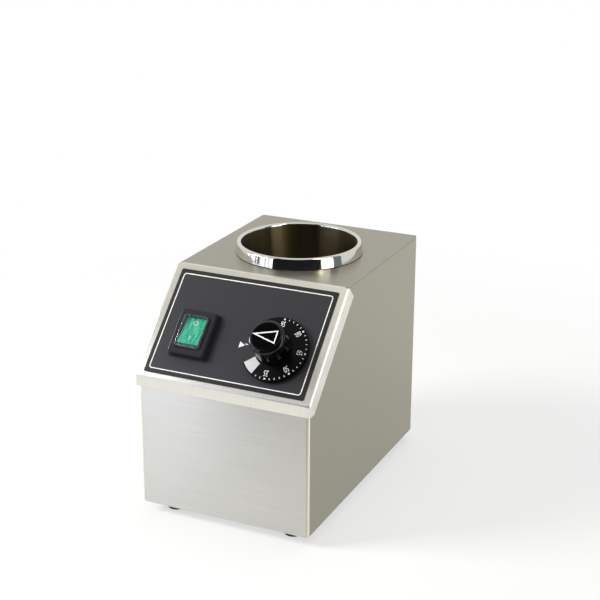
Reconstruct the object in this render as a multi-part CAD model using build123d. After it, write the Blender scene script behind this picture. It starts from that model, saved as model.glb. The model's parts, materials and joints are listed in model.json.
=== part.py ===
"""Countertop warmer with one round dry well, a sloped control panel and a
thermostat dial.

Millimetres, +Z up. The origin is the middle of the object's footprint on the
surface that it stands on: the front panel faces -Y and the well opens to +Z.
"""

from build123d import *
from math import atan2, cos, hypot, radians, sin, tan
import os

os.makedirs("parts", exist_ok=True)

# ------------------------------------------------------------------ body sizes
body_width = 150.0  # over the side walls
body_depth = 225.0  # front panel face to back wall face
body_height = 186.5  # lower edge of the walls to the top plate's face
foot_height = 8.0  # floor to the lower edge of the walls
sheet = 1.0  # steel of the casing, top, front panel and base
bend = 2.0  # outer radius of the folds
flange = 12.0  # width of the folded-in edges
seam = 0.15  # gap at a butt seam that shows

# -------------------------------------------------------------- sloped fascia
slope_setback = 70.4  # top fold, behind the front panel's face
slope_foot = 114.7  # lower fold, above the lower edge of the walls
fascia_sheet = 1.5
fascia_proud = 3.0  # its front lip, ahead of the front panel
fascia_side_gap = 0.5  # between its side lips and the side walls
fascia_lip = 9.6  # height of its front lip
fascia_side_lip = 12.5  # depth of its side lips, square to the slope
fascia_bend = 2.0
label_width = 140.8
label_length = 94.1
label_top = 4.8  # top fold to the label's upper edge
label_thick = 0.3
label_corner = 1.5

# ----------------------------------------------------------------------- well
well_radius = 48.9  # inside
well_ahead = 5.7  # axis, ahead of the middle of the flat top
well_wall = 0.8
well_floor = 28.0  # above the lower edge of the walls, inside
well_corner = 8.0
collar_rise = 9.6  # rim above the top plate
collar_width = 3.7  # across the rolled rim
collar_flare = 1.3  # its wall, wider at the foot
gasket_thick = 0.4
hole_clearance = 0.3
well_stud_radius = 3.0
well_stud_length = 14.0
pad_thick = 5.0
pad_radius = 38.0
bracket_sheet = 1.5
bracket_width = 40.0
bracket_length = 84.0
bracket_foot = 12.0

# ------------------------------------------------------- heater and insulation
band_thick = 3.0
band_low = 45.0  # above the floor
band_high = 105.0
band_gap = 12.0  # between the clamp ears
ear_length = 8.0
ear_thick = 1.5
fit_gap = 0.05  # round pieces nested in each other
sleeve_thick = 9.0
sleeve_low = 42.0
sleeve_margin = 18.5  # its top, below the top plate's face
sleeve_opening = 76.0  # degrees, facing the controls
strap_gap = 0.15  # round the sleeve
strap_thick = 0.5
strap_width = 8.0

# ------------------------------------------------------------- dial and switch
dial_inset = 40.0  # axis, from the side wall's face
dial_slope = 62.5  # axis, down the slope from the top fold
skirt_radius = 27.5
skirt_cut = 72.0  # degrees cut out of the skirt at the pointer
skirt_lift = 1.0  # above the label
skirt_edge = 4.2  # top of its edge above the fascia
skirt_crown = 5.6  # where it meets the grip
grip_radius = 15.0
grip_height = 26.5
grip_round = 3.0
spindle_radius = 3.0
spindle_flat = 1.6  # axis to the flat
bearing_gap = 0.06
switch_inset = 37.7  # axis, from the other side wall's face
switch_slope = 61.8
frame_width = 34.0
frame_length = 41.0
frame_step = (32.0, 39.2)  # its raised part
frame_flange = 1.6  # top of its low edge, above the fascia
frame_height = 7.2
rocker_width = 18.8
rocker_length = 24.6
rocker_height = 7.2
rocker_tilt = 8.0  # degrees either side of level
cover_height = 10.2
cover_wall = 0.6

# ---------------------------------------------------------------- fixed places
foot_radius = 8.0
foot_side = 21.5  # axis, from a side wall's face
foot_end = 18.0  # axis, from the front panel's or the back wall's face
inlet_x = -42.0
inlet_rise = 26.0  # axis above the lower edge of the walls
inlet_flange = 3.0

# ------------------------------------------------------------- worked-out ones
half_width = body_width / 2
front_y = -(body_depth + inlet_flange - fascia_proud) / 2
back_y = front_y + body_depth
base_z = foot_height
top_z = base_z + body_height
fold_y = front_y + slope_setback
lip_y = front_y - fascia_proud
lip_z = base_z + slope_foot
slope = atan2(top_z - lip_z, fold_y - lip_y)
slope_length = hypot(top_z - lip_z, fold_y - lip_y)
well_y = (fold_y + back_y) / 2 - well_ahead
well_outer = well_radius + well_wall
rim_z = top_z + collar_rise
floor_z = base_z + well_floor
cup_bottom = floor_z - well_wall
sleeve_high = top_z - sleeve_margin
dial_x = half_width - dial_inset
switch_x = switch_inset - half_width
panel = Plane(
    origin=(0, fold_y, top_z), x_dir=(1, 0, 0), z_dir=(0, -sin(slope), cos(slope))
)
dial_at = Pos(dial_x, -dial_slope, 0)
switch_at = Pos(switch_x, -switch_slope, 0)
back_wall = Plane(origin=(inlet_x, back_y, base_z + inlet_rise), z_dir=(0, 1, 0), x_dir=(-1, 0, 0))


# ------------------------------------------------------------------ small tools
def slope_z(y, depth):
    """Height at y of the plane that lies `depth` under the fascia's face."""
    return top_z + (y - fold_y) * tan(slope) - depth / cos(slope)


def slope_y(z, depth):
    """Place along Y where that plane is at height z."""
    return fold_y + (z - top_z + depth / cos(slope)) / tan(slope)


def on_slope(down, depth):
    """The (y, z) of a point `down` the slope and `depth` under its face."""
    return (
        fold_y - down * cos(slope) + depth * sin(slope),
        top_z - down * sin(slope) - depth * cos(slope),
    )


def prism(points, half):
    """A side profile of (y, z) points, as wide as `half` either side of X = 0."""
    face = make_face(Polyline(*points, close=True))
    return extrude(Plane.YZ * face, amount=half, both=True)


def block(x0, x1, y0, y1, z0, z1):
    """A box by its limits."""
    size = (x1 - x0, y1 - y0, z1 - z0)
    return Pos((x0 + x1) / 2, (y0 + y1) / 2, (z0 + z1) / 2) * Box(*size)


def rod(radius, z0, z1):
    """A round bar about Z."""
    return Pos(0, 0, (z0 + z1) / 2) * Cylinder(radius, z1 - z0)


def cone(low_radius, high_radius, z0, z1):
    """A round taper about Z."""
    at = Pos(0, 0, (z0 + z1) / 2)
    return at * Cone(low_radius, high_radius, z1 - z0)


def ring(inner, outer, z0, z1):
    """A round tube about Z."""
    return rod(outer, z0, z1) - rod(inner, z0 - 1, z1 + 1)


def plate(width, length, z0, z1, corner):
    """A rounded rectangular slab about Z."""
    return extrude(Pos(0, 0, z0) * RectangleRounded(width, length, corner), z1 - z0)


def wedge(angle, start, radius, z0, z1):
    """A sector about Z, from `start` degrees and `angle` degrees wide."""
    steps = [start + angle * k / 4 for k in range(5)]
    rim = [(radius * cos(radians(a)), radius * sin(radians(a))) for a in steps]
    return extrude(Pos(0, 0, z0) * make_face(Polyline((0, 0), *rim, close=True)), z1 - z0)


def hexagon(across, z0, z1):
    """A hexagonal bar about Z, by its width across flats."""
    face = RegularPolygon(across / 2, 6, major_radius=False)
    return extrude(Pos(0, 0, z0) * face, z1 - z0)


def group(solids):
    """Separate solids of one node."""
    return Compound(children=list(solids))


def save(name, shape):
    """Write one node."""
    export_step(shape, f"parts/{name}.step")


# --------------------------------------------------------------------- fasteners
stud_radius = 2.0
stud_length = 8.0
stud_hole = 2.2
nut_across = 7.0
nut_height = 3.2
washer_radius = 5.0
washer_thick = 1.0
thread_gap = 0.05
stud_inset = 7.2  # from the outer face of a wall


def stud_nut():
    """Flange nut of a welded stud: seat at Z = 0, body along +Z."""
    top = washer_thick + nut_height
    body = rod(washer_radius, 0, washer_thick) + hexagon(nut_across, washer_thick, top)
    return body - rod(stud_radius + thread_gap, -1, top + 1)


def pan_screw(radius, head, head_height, length):
    """Pan-head screw: seat at Z = 0, shank along -Z."""
    cap = rod(head, 0, head_height)
    cap = fillet(cap.edges().sort_by(Axis.Z)[-1], head_height * 0.45)
    cross = Box(head * 1.1, head * 0.3, head_height) + Box(head * 0.3, head * 1.1, head_height)
    return cap - Pos(0, 0, head_height) * cross + rod(radius, -length, 0)


def plain_nut(radius, across, height):
    """Hexagon nut about Z, from Z = 0 up."""
    return hexagon(across, 0, height) - rod(radius + thread_gap, -1, height + 1)


top_studs = [
    (side * (half_width - stud_inset), y)
    for side in (-1, 1)
    for y in (slope_y(top_z, fascia_sheet) + 18, back_y - 26)
]
slope_studs = [
    (side * (half_width - stud_inset), down)
    for side in (-1, 1)
    for down in (26.0, slope_length - 22)
]
front_studs = [
    (side * (half_width - stud_inset), z)
    for side in (-1, 1)
    for z in (base_z + 24, lip_z - 30)
]


# --------------------------------------------------------------------- the body
def side_profile(front, under, top, back, base):
    """The body's outline from the side, each face moved inwards by that much."""
    y0, y1 = front_y + front, back_y - back
    z0, z1 = base_z + base, top_z - top
    return [(y0, z0), (y0, slope_z(y0, under)), (slope_y(z1, under), z1), (y1, z1), (y1, z0)]


def casing_wrap():
    """Side walls and back wall in one sheet, with its edges folded in."""
    outer = prism(side_profile(0, fascia_sheet, sheet, 0, 0), half_width)
    outer = fillet(outer.edges(), bend)
    seat = half_width - bend
    outer -= block(-seat, seat, front_y - 1, front_y + sheet, base_z - 1, top_z)
    inner = prism(
        side_profile(2 * sheet, fascia_sheet + sheet, 2 * sheet, sheet, sheet), half_width - sheet
    )
    inner = fillet(inner.edges(), bend - sheet)
    core = prism(side_profile(-9, -9, -9, flange, -9), half_width - flange)
    wrap = outer - inner - core
    tongue = half_width - sheet
    wrap -= panel * block(-tongue, tongue, -flange - 1, 6, -fascia_sheet - sheet - 0.5, 1)
    for x, y in top_studs:
        wrap -= Pos(x, y, top_z) * rod(stud_hole, -6, 0)
    for x, down in slope_studs:
        wrap -= panel * Pos(x, -down, 0) * rod(stud_hole, -6, 0)
    for x, z in front_studs:
        wrap -= Pos(x, front_y, z) * Rot(90, 0, 0) * rod(stud_hole, -5, 0)
    for x, y in base_fixings:
        wrap -= Pos(x, y, base_z) * rod(clinch_radius + thread_gap, -1, sheet + 1)
    wrap -= back_wall * plate(inlet_cut[0], inlet_cut[1], -sheet - 1, 1, 4)
    for side in (-1, 1):
        wrap -= back_wall * Pos(side * inlet_pitch / 2, 0, 0) * rod(inlet_screw_hole, -sheet - 1, 1)
    return wrap


def top_plate():
    """Flat top with the hole for the well and a folded edge under the fascia."""
    under = fascia_sheet
    points = [
        (back_y, top_z),
        (slope_y(top_z, under), top_z),
        on_slope(flange - 1, under),
        on_slope(flange - 1, under + sheet),
        (slope_y(top_z - sheet, under + sheet), top_z - sheet),
        (back_y, top_z - sheet),
    ]
    slab = prism(points, half_width)
    fold = slab.edges().filter_by(Axis.X).group_by(Axis.Z)[-1].sort_by(Axis.Y)[0]
    slab = fillet(fold, sheet)
    corners = slab.edges().filter_by(Axis.Z).group_by(Axis.Y)[-1]
    slab = fillet(corners, bend)
    inside = half_width - sheet - seam
    for side in (-1, 1):
        limits = sorted((side * inside, side * (half_width + 1)))
        slab -= block(*limits, front_y, back_y, base_z, top_z - sheet)
    slab -= Pos(0, well_y, top_z) * rod(well_outer + hole_clearance, -5, 1)
    for x, y in top_studs:
        slab += Pos(x, y, top_z) * rod(stud_radius, -sheet - stud_length, -sheet)
    return slab


def front_panel():
    """Upright brushed panel that closes the front."""
    half = half_width - bend - seam
    top = slope_z(front_y, fascia_sheet) - 0.5
    face = block(-half, half, front_y, front_y + sheet, base_z, top)
    fold = half_width - flange - 0.3
    face += block(-fold, fold, front_y, front_y + flange, base_z, base_z + sheet)
    edge = face.edges().filter_by(Axis.X).group_by(Axis.Z)[0].sort_by(Axis.Y)[0]
    face = fillet(edge, sheet)
    for x, z in front_studs:
        face += Pos(x, front_y, z) * Rot(-90, 0, 0) * rod(stud_radius, sheet, sheet + stud_length)
    return face


def fascia():
    """Sloped control panel: a shallow folded tray over the body's front edge."""
    half = half_width + fascia_side_gap
    low = lip_z - fascia_lip
    far = on_slope(0, fascia_side_lip)
    points = [
        (lip_y, low),
        (lip_y, lip_z),
        (fold_y, top_z),
        far,
        (slope_y(low, fascia_side_lip), low),
    ]
    outer = prism(points, half + fascia_sheet)
    corner = outer.edges().filter_by(Axis.X).group_by(Axis.Y)[0].sort_by(Axis.Z)[-1]
    sides = outer.edges().filter_by(lambda e: abs(abs(e.center().X) - half - fascia_sheet) < 0.01)
    folds = [e for e in sides if abs(e.length - slope_length) < 0.5 or abs(e.center().Y - lip_y) < 0.5]
    outer = fillet(folds + [corner], fascia_bend)
    inner_y = lip_y + fascia_sheet
    up = on_slope(-20, fascia_sheet)
    inner = prism(
        [
            (inner_y, low - 20),
            (inner_y, slope_z(inner_y, fascia_sheet)),
            up,
            on_slope(-20, 60),
            on_slope(slope_length, 60),
        ],
        half,
    )
    tray = outer - inner
    tip = slope_y(top_z, fascia_sheet) - seam
    hem = [(fold_y, top_z), on_slope(0, fascia_sheet), (tip, slope_z(tip, fascia_sheet)), (tip, top_z)]
    tray += prism(hem, half_width - bend)
    tray -= panel * control_holes(-fascia_sheet - 1, 1)
    for x, down in slope_studs:
        tray += panel * Pos(x, -down, 0) * rod(stud_radius, -fascia_sheet - stud_length, -fascia_sheet)
    return tray


def control_holes(low, high):
    """Openings for the switch, the dial's spindle and its two screws."""
    cut = switch_at * plate(switch_cut[0], switch_cut[1], low, high, 1)
    cut += dial_at * rod(bush_radius + 0.2, low, high)
    for side in (-1, 1):
        cut += dial_at * Pos(side * screw_pitch / 2, 0, 0) * rod(2.2, low, high)
    return cut


def label_overlay():
    """Thin printed overlay on the fascia."""
    middle = label_top + label_length / 2
    film = Pos(0, -middle, 0) * plate(label_width, label_length, 0, label_thick, label_corner)
    return panel * (film - control_holes(-1, 1))


def base_plate():
    """Bottom sheet with cooling slots, held to the casing's lower flanges."""
    inset = 3.0
    slab = block(
        -half_width + inset, half_width - inset, front_y + inset, back_y - inset, base_z - sheet, base_z
    )
    slab = fillet(slab.edges().filter_by(Axis.Z), 4)
    for row in range(-3, 4):
        for y in (front_y + 48, back_y - 40):
            slab -= Pos(row * 11, y, base_z) * plate(4, 34, -2, 1, 1.9)
    for x, y in base_fixings:
        slab -= Pos(x, y, base_z) * rod(stud_hole, -2, 1)
    for x, y in feet_places:
        slab -= Pos(x, y, base_z) * rod(foot_screw_radius + 0.2, -2, 1)
    for x, y in bracket_fixings:
        slab -= Pos(x, y, base_z) * rod(stud_hole, -2, 1)
    slab -= Pos(earth_x, earth_y, base_z) * rod(stud_hole, -2, 1)
    for x, y in block_fixings:
        slab -= Pos(x, y, base_z) * rod(1.7, -2, 1)
    return slab


# ---------------------------------------------------------- feet and base screws
clinch_radius = 3.0
clinch_head = 4.0
clinch_height = 3.0
foot_taper = 0.4
foot_round = 0.6
foot_web = 2.5  # rubber under the base plate, over the screw's head
foot_screw_radius = 2.5
foot_screw_head = 4.2
foot_screw_length = 12.0
foot_nut_across = 8.0
foot_nut_height = 4.0
feet_places = [
    (side * (half_width - foot_side), y)
    for side in (-1, 1)
    for y in (front_y + foot_end, back_y - foot_end)
]
base_fixings = [
    (side * (half_width - stud_inset), y)
    for side in (-1, 1)
    for y in (front_y + 40, back_y - 38)
] + [(side * 30.0, back_y - stud_inset) for side in (-1, 1)]


def foot():
    """Rubber foot, hollowed for its screw head, under the base plate."""
    height = foot_height - sheet
    body = cone(foot_radius - foot_taper, foot_radius, 0, height)
    body = fillet(body.edges().sort_by(Axis.Z)[0], foot_round)
    body -= rod(foot_screw_head + 0.2, -1, height - foot_web)
    return body - rod(foot_screw_radius + 0.1, -1, height + 1)


def foot_screw():
    """Screw up through the foot and the base plate."""
    seat = foot_height - sheet - foot_web
    screw = pan_screw(foot_screw_radius, foot_screw_head, 2.4, foot_screw_length)
    return Pos(0, 0, seat) * Rot(180, 0, 0) * screw


def foot_nut():
    """Its nut on the base plate."""
    return plain_nut(foot_screw_radius, foot_nut_across, foot_nut_height)


def base_screw():
    """Screw up through the base plate into a clinch nut."""
    return Pos(0, 0, base_z - sheet) * Rot(180, 0, 0) * pan_screw(stud_radius, 3.8, 2.2, 7)


def clinch_nut():
    """Nut pressed into the casing's lower flange."""
    body = rod(clinch_radius, 0, sheet) + rod(clinch_head, sheet, sheet + clinch_height)
    return body - rod(stud_radius + thread_gap, -1, 9)


# ----------------------------------------------------------------------- the well
def well_cup():
    """Drawn steel cup whose mouth is rolled over into the collar."""
    outer_r = well_radius + collar_width
    roll = collar_width / 2
    roll_z = rim_z - roll
    mid = well_radius + roll
    low = top_z + gasket_thick
    inner = [(0, floor_z), (well_radius, floor_z), (well_radius, roll_z)]
    skin = [(0, cup_bottom), (well_outer, cup_bottom), (well_outer, roll_z)]
    cavity = Polyline(*inner) + ThreePointArc((well_radius, roll_z), (mid, rim_z), (outer_r, roll_z))
    hem_r = outer_r - well_wall
    foot_r = outer_r + collar_flare
    cavity += Polyline((outer_r, roll_z), (foot_r, low), (foot_r - well_wall, low), (hem_r, roll_z))
    under = ThreePointArc((hem_r, roll_z), (mid, rim_z - well_wall), (well_outer, roll_z))
    cavity += under + Polyline(*reversed(skin)) + Line((0, cup_bottom), (0, floor_z))
    cup = revolve(Plane.XZ * make_face(cavity), Axis.Z)
    at_floor = cup.edges().filter_by(GeomType.CIRCLE).filter_by(lambda e: e.center().Z < floor_z + 1)
    rounds = sorted(at_floor, key=lambda e: e.center().Z)
    cup = fillet(rounds[-1], well_corner - well_wall)
    low_edge = cup.edges().filter_by(GeomType.CIRCLE).sort_by(Axis.Z)[0]
    cup = fillet(low_edge, well_corner)
    return Pos(0, well_y, 0) * (cup + rod(well_stud_radius, cup_bottom - well_stud_length, cup_bottom))


def well_gasket():
    """Silicone ring between the collar and the top plate."""
    outer_r = well_radius + collar_width
    return Pos(0, well_y, 0) * ring(well_outer + hole_clearance, outer_r - 0.2, top_z, top_z + gasket_thick)


def well_pad():
    """Ceramic-fibre disc under the cup."""
    hole = well_stud_radius + hole_clearance
    return Pos(0, well_y, 0) * ring(hole, pad_radius, cup_bottom - pad_thick, cup_bottom)


bracket_top = cup_bottom - pad_thick
bracket_fixings = [
    (side * (bracket_length + bracket_foot) / 2, well_y + end * 12)
    for side in (-1, 1)
    for end in (-1, 1)
]


def well_bracket():
    """Bridge on the base plate that carries the well."""
    half = bracket_length / 2
    t = bracket_sheet
    points = [
        (-half - bracket_foot, base_z),
        (-half, base_z),
        (-half, bracket_top - t),
        (half, bracket_top - t),
        (half, base_z),
        (half + bracket_foot, base_z),
        (half + bracket_foot, base_z + t),
        (half + t, base_z + t),
        (half + t, bracket_top),
        (-half - t, bracket_top),
        (-half - t, base_z + t),
        (-half - bracket_foot, base_z + t),
    ]
    bridge = extrude(Plane.XZ * make_face(Polyline(*points, close=True)), bracket_width / 2, both=True)
    bridge = fillet(bridge.edges().filter_by(Axis.Y).group_by(Axis.Z)[-1], t)
    bridge -= rod(well_stud_radius + hole_clearance, base_z, bracket_top + 1)
    bridge = Pos(0, well_y, 0) * bridge
    for x, y in bracket_fixings:
        bridge -= Pos(x, y, base_z) * rod(stud_hole, -1, t + 1)
    return bridge


def well_nut():
    """Nut on the cup's stud, under the bridge."""
    at = Pos(0, well_y, bracket_top - bracket_sheet) * Rot(180, 0, 0)
    return at * plain_nut(well_stud_radius, 10, 5)


def heater_band():
    """Mica band heater round the cup, open at the front between its clamp ears."""
    r0 = well_outer + fit_gap
    r1 = r0 + band_thick
    band = ring(r0, r1, band_low, band_high)
    band -= block(-band_gap / 2, band_gap / 2, -r1 - 1, 0, band_low - 1, band_high + 1)
    for side in (-1, 1):
        near = side * band_gap / 2
        limits = sorted((near, near + side * ear_thick))
        ear = block(*limits, -r1 - ear_length, -r0 - band_thick / 2, band_low, band_high)
        for z in ear_screws:
            ear -= Pos(near, -r1 - ear_length / 2, z) * Rot(0, 90, 0) * Cylinder(2.2, 8)
        band += ear
    return Pos(0, well_y, 0) * band


ear_screws = [band_low + 14, band_high - 14]
ear_y = well_y - well_outer - fit_gap - band_thick - ear_length / 2
ear_out = band_gap / 2 + ear_thick


def clamp_screws():
    """Screws across the band heater's ears."""
    grip = 2 * ear_out + 6
    for z in ear_screws:
        yield Pos(ear_out, ear_y, z) * Rot(0, 90, 0) * pan_screw(stud_radius, 3.6, 2.4, grip)


def clamp_nuts():
    """Their nuts."""
    for z in ear_screws:
        yield Pos(-ear_out, ear_y, z) * Rot(0, -90, 0) * plain_nut(stud_radius, nut_across, nut_height)


post_angles = (-64.0, -116.0)
post_z = (band_low + band_high) / 2
post_r = well_outer + fit_gap + band_thick


def heater_posts():
    """Two ceramic-bushed terminals on the band, in the sleeve's opening."""
    for angle in post_angles:
        bush = Rot(0, 90, 0) * rod(4, -0.6, 5)
        tab = block(5, 13, -0.4, 0.4, -3.15, 3.15)
        post = bush + tab
        yield Pos(0, well_y, post_z) * Rot(0, 0, angle) * Pos(post_r + 0.7, 0, 0) * post


def insulation_sleeve():
    """Glass-fibre sleeve round the band, open towards the controls."""
    r0 = well_outer + fit_gap + band_thick + fit_gap
    sleeve = ring(r0, r0 + sleeve_thick, sleeve_low, sleeve_high)
    start = -90 - sleeve_opening / 2
    sleeve -= wedge(sleeve_opening, start, r0 + 40, sleeve_low - 1, sleeve_high + 1)
    return Pos(0, well_y, 0) * sleeve


sleeve_outer = well_outer + 2 * fit_gap + band_thick + sleeve_thick


def sleeve_straps():
    """Two stainless straps round the sleeve."""
    r0 = sleeve_outer + strap_gap
    for z in (band_high - 10, sleeve_high - 10):
        yield Pos(0, well_y, z) * ring(r0, r0 + strap_thick, -strap_width / 2, strap_width / 2)


# -------------------------------------------------------------- thermostat, dial
bush_radius = 5.0
bush_height = 0.6  # above the fascia's face
screw_pitch = 28.0
bridge_size = (44.0, 26.0)
bridge_sheet = 1.5
stat_size = (42.0, 36.0)
stat_depth = 26.0
stat_top = -fascia_sheet - bridge_sheet
stat_bottom = stat_top - stat_depth
spindle_top = 15.0
spindle_low = stat_top - 9
bore_top = spindle_top + 0.3
flat_low = 3.0  # where the spindle's flat begins


def thermostat_bridge():
    """Steel mounting bridge with the spindle's bush."""
    body = plate(*bridge_size, stat_top, -fascia_sheet, 2) + rod(bush_radius, stat_top, bush_height)
    body -= rod(spindle_radius + bearing_gap, stat_top - 1, bush_height + 1)
    for side in (-1, 1):
        body -= Pos(side * screw_pitch / 2, 0, 0) * rod(2 + thread_gap, stat_top - 1, 0)
    return panel * dial_at * body


def thermostat_body():
    """Moulded switch body of the capillary thermostat."""
    body = plate(*stat_size, stat_bottom, stat_top, 3)
    body -= rod(spindle_radius + 0.4, spindle_low - 0.5, stat_top + 1)
    for side in (-1, 1):
        body -= Pos(side * screw_pitch / 2, 0, 0) * rod(2.4, stat_top - 6, stat_top + 1)
    return panel * dial_at * body


def dial_screws():
    """Two low-head screws that hold the thermostat, hidden by the dial."""
    for side in (-1, 1):
        screw = pan_screw(2, 3.6, 1.6, 6.5)
        yield panel * dial_at * Pos(side * screw_pitch / 2, 0, label_thick) * screw


def d_bar(radius, flat, z0, z1):
    """A round bar about Z with a flat on its +Y side."""
    return rod(radius, z0, z1) - block(-radius - 1, radius + 1, flat, radius + 1, z0 - 1, z1 + 1)


def thermostat_spindle():
    """Turning spindle with the dial's driving flat."""
    shaft = rod(spindle_radius, spindle_low, flat_low)
    shaft += d_bar(spindle_radius, spindle_flat, flat_low, spindle_top)
    return panel * dial_at * shaft


def dial_knob():
    """Moulded knob: a grip on a wide skirt that carries the scale."""
    inner = grip_radius - 2.4
    low = label_thick + skirt_lift
    under = 2.6
    points = [
        (0, low),
        (7, low),
        (7, grip_height - 6),
        (inner - 0.6, grip_height - 6),
        (inner, under),
        (skirt_radius - 1.6, under),
        (skirt_radius - 1.6, low),
        (skirt_radius, low),
        (skirt_radius, skirt_edge),
        (grip_radius, skirt_crown),
        (grip_radius - 0.4, grip_height),
        (0, grip_height),
    ]
    knob = revolve(Plane.XZ * make_face(Polyline(*points, close=True)), Axis.Z)
    crown = knob.edges().filter_by(GeomType.CIRCLE).sort_by(Axis.Z)[-1]
    knob = fillet(crown, grip_round)
    root = [
        e
        for e in knob.edges().filter_by(GeomType.CIRCLE)
        if abs(e.center().Z - skirt_crown) < 0.1 and abs(e.radius - grip_radius) < 0.1
    ]
    knob = fillet(root, 0.8)
    cut = wedge(skirt_cut, 180 - skirt_cut / 2, skirt_radius * 2, 0, skirt_crown + 2)
    knob -= cut - rod(grip_radius, -1, grip_height)
    knob -= rod(spindle_radius + fit_gap, -1, flat_low + fit_gap)
    knob -= d_bar(spindle_radius + fit_gap, spindle_flat + fit_gap, 0, bore_top)
    return panel * dial_at * knob


# ------------------------------------------------------------------------- switch
switch_cut = (22.2, 30.2)
switch_body_size = (21.6, 29.6)
switch_flange_size = (25.4, 33.4)
switch_flange_top = label_thick + 1.2
switch_depth = 21.0
switch_wall = 1.6
pivot_z = -1.0
pivot_radius = 1.5
hub_half = switch_body_size[0] / 2 - switch_wall - 0.4
gap = 0.35
cover_inner = (rocker_width + 1.5, rocker_length + 2.2)
cover_outer = (cover_inner[0] + 2 * cover_wall, cover_inner[1] + 2 * cover_wall)
cover_skirt = 0.6
tab_ys = (-9.0, 0.0, 9.0)


def switch_body():
    """Open-topped switch housing that snaps into the fascia."""
    w, l = switch_body_size
    body = plate(w, l, -switch_depth, label_thick, 1)
    body += plate(*switch_flange_size, label_thick, switch_flange_top, 1.5)
    t = switch_wall
    body -= plate(w - 2 * t, l - 2 * t, -switch_depth + 2, switch_flange_top + 1, 0.8)
    body -= Pos(0, 0, pivot_z) * Rot(0, 90, 0) * Cylinder(pivot_radius + bearing_gap, w - 0.8)
    for side in (-1, 1):
        slot = block(-pivot_radius, pivot_radius, -0.5, 0.5, pivot_z, switch_flange_top + 1)
        body -= Pos(side * (w / 2 - t + 0.1), 0, 0) * Rot(0, 0, 90) * slot
    for y in tab_ys:
        body -= Pos(0, y, 0) * block(-3.2, 3.2, -0.45, 0.45, -switch_depth - 1, -switch_depth + 3)
    return panel * switch_at * body


def switch_tabs():
    """Three blade terminals with their contact seats."""
    for y in tab_ys:
        top = contact_z - 0.7 if y == 0 else contact_z - 1.65
        tab = block(-3.15, 3.15, -0.4, 0.4, -switch_depth - blade_length, -switch_depth + 2.4)
        tab += block(-1.6, 1.6, -0.4, 0.4, -switch_depth + 2, top)
        if y != 0:
            tab += block(-1.6, 1.6, -1.2, 1.2, top - 0.6, top)
        yield panel * switch_at * Pos(0, y, 0) * tab


contact_z = -12.4  # pivot of the contact arm
contact_tilt = 6.0


def switch_contact():
    """See-saw contact arm, tipped by the rocker's plunger."""
    arm = block(-2, 2, -9.6, 9.6, -0.4, 0.4)
    arm += block(-3.4, -2, -2, 2, -1.2, 0.4) + block(2, 3.4, -2, 2, -1.2, 0.4)
    return panel * switch_at * Pos(0, 0, contact_z) * Rot(contact_tilt, 0, 0) * arm


def switch_rocker():
    """Tinted rocker, resting with its upper end pressed in."""
    half_w, half_l = rocker_width / 2, rocker_length / 2
    top = rocker_height - pivot_z
    low = switch_flange_top + gap - pivot_z
    rise = half_l * tan(radians(rocker_tilt)) + gap
    outline = [
        (-half_l, top),
        (-half_l, low + rise),
        (-5, low + 0.5),
        (5, low + 0.5),
        (half_l, low + rise),
        (half_l, top),
    ]
    head = extrude(Plane.YZ * make_face(Polyline(*outline, close=True)), half_w, both=True)
    head = fillet(head.edges().filter_by(Axis.X).group_by(Axis.Z)[-1], 0.8)
    upper = head.edges().filter_by(lambda e: e.center().Z > top - 1)
    head = fillet(upper.filter_by(lambda e: abs(abs(e.center().X) - half_w) < 0.01), 0.5)
    hub = extrude(Plane.YZ * Circle(5.2), hub_half, both=True)
    hub += block(-hub_half, hub_half, -4, 4, 0, low + 1)
    hub -= plunger_bore()
    pin = extrude(Plane.YZ * Circle(pivot_radius), switch_body_size[0] / 2 - 0.8, both=True)
    body = head + hub + (pin - plunger_bore())
    return rocker_frame() * body


def rocker_frame():
    """Place of the rocker's pivot, turned to its rest tilt."""
    return Location(panel) * switch_at * Pos(0, 0, pivot_z) * Rot(-rocker_tilt, 0, 0)


plunger_radius = 1.5
plunger_low = -10.6
plunger_floor = 1.6
bore_end = 1.5
spring_wire = 0.35
spring_radius = 0.95
spring_turns = 8
spring_seat = 0.05


def plunger_bore():
    """Blind bore in the rocker's hub for the plunger and its spring."""
    return rod(plunger_radius + 0.1, -12, bore_end)


def switch_plunger():
    """Hollow spring-loaded plunger in the rocker's hub."""
    body = rod(plunger_radius, plunger_low, -2.2)
    body = fillet(body.edges().sort_by(Axis.Z)[0], 1.2)
    return rocker_frame() * (body - rod(plunger_radius - 0.25, plunger_low + plunger_floor, 0))


def switch_spring():
    """Coil spring between the plunger and the end of its bore."""
    low = plunger_low + plunger_floor + spring_seat + spring_wire / 2
    high = bore_end - spring_seat - spring_wire / 2
    path = Helix(pitch=(high - low) / spring_turns, height=high - low, radius=spring_radius)
    section = Plane(origin=path @ 0, z_dir=path % 0) * Circle(spring_wire / 2)
    print(f"switch_spring: least gap to itself {turn_gap(path, spring_turns, spring_wire):.2f} mm")
    return rocker_frame() * Pos(0, 0, low) * sweep(section, path, is_frenet=True)


def turn_gap(path, turns, wire):
    """Least clear distance between points of a coil that lie over half a turn apart."""
    per_turn = 24
    count = turns * per_turn
    points = [path @ (k / count) for k in range(count + 1)]
    far = [
        (a - b).length
        for i, a in enumerate(points)
        for b in points[i + per_turn // 2 : i + 2 * per_turn]
    ]
    return min(far) - wire


def switch_cover():
    """Clear splash cover over the rocker, clamped by the frame."""
    low = switch_flange_top
    skirt = plate(*switch_flange_size, low, low + cover_skirt, 1.5)
    dome = plate(*cover_outer, low, cover_height, 2)
    dome = fillet(dome.edges().group_by(Axis.Z)[-1], 1.2)
    hollow = plate(*cover_inner, low - 1, cover_height - cover_wall, 1.4)
    hollow = fillet(hollow.edges().group_by(Axis.Z)[-1], 0.6)
    return panel * switch_at * (skirt + dome - hollow)


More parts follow.
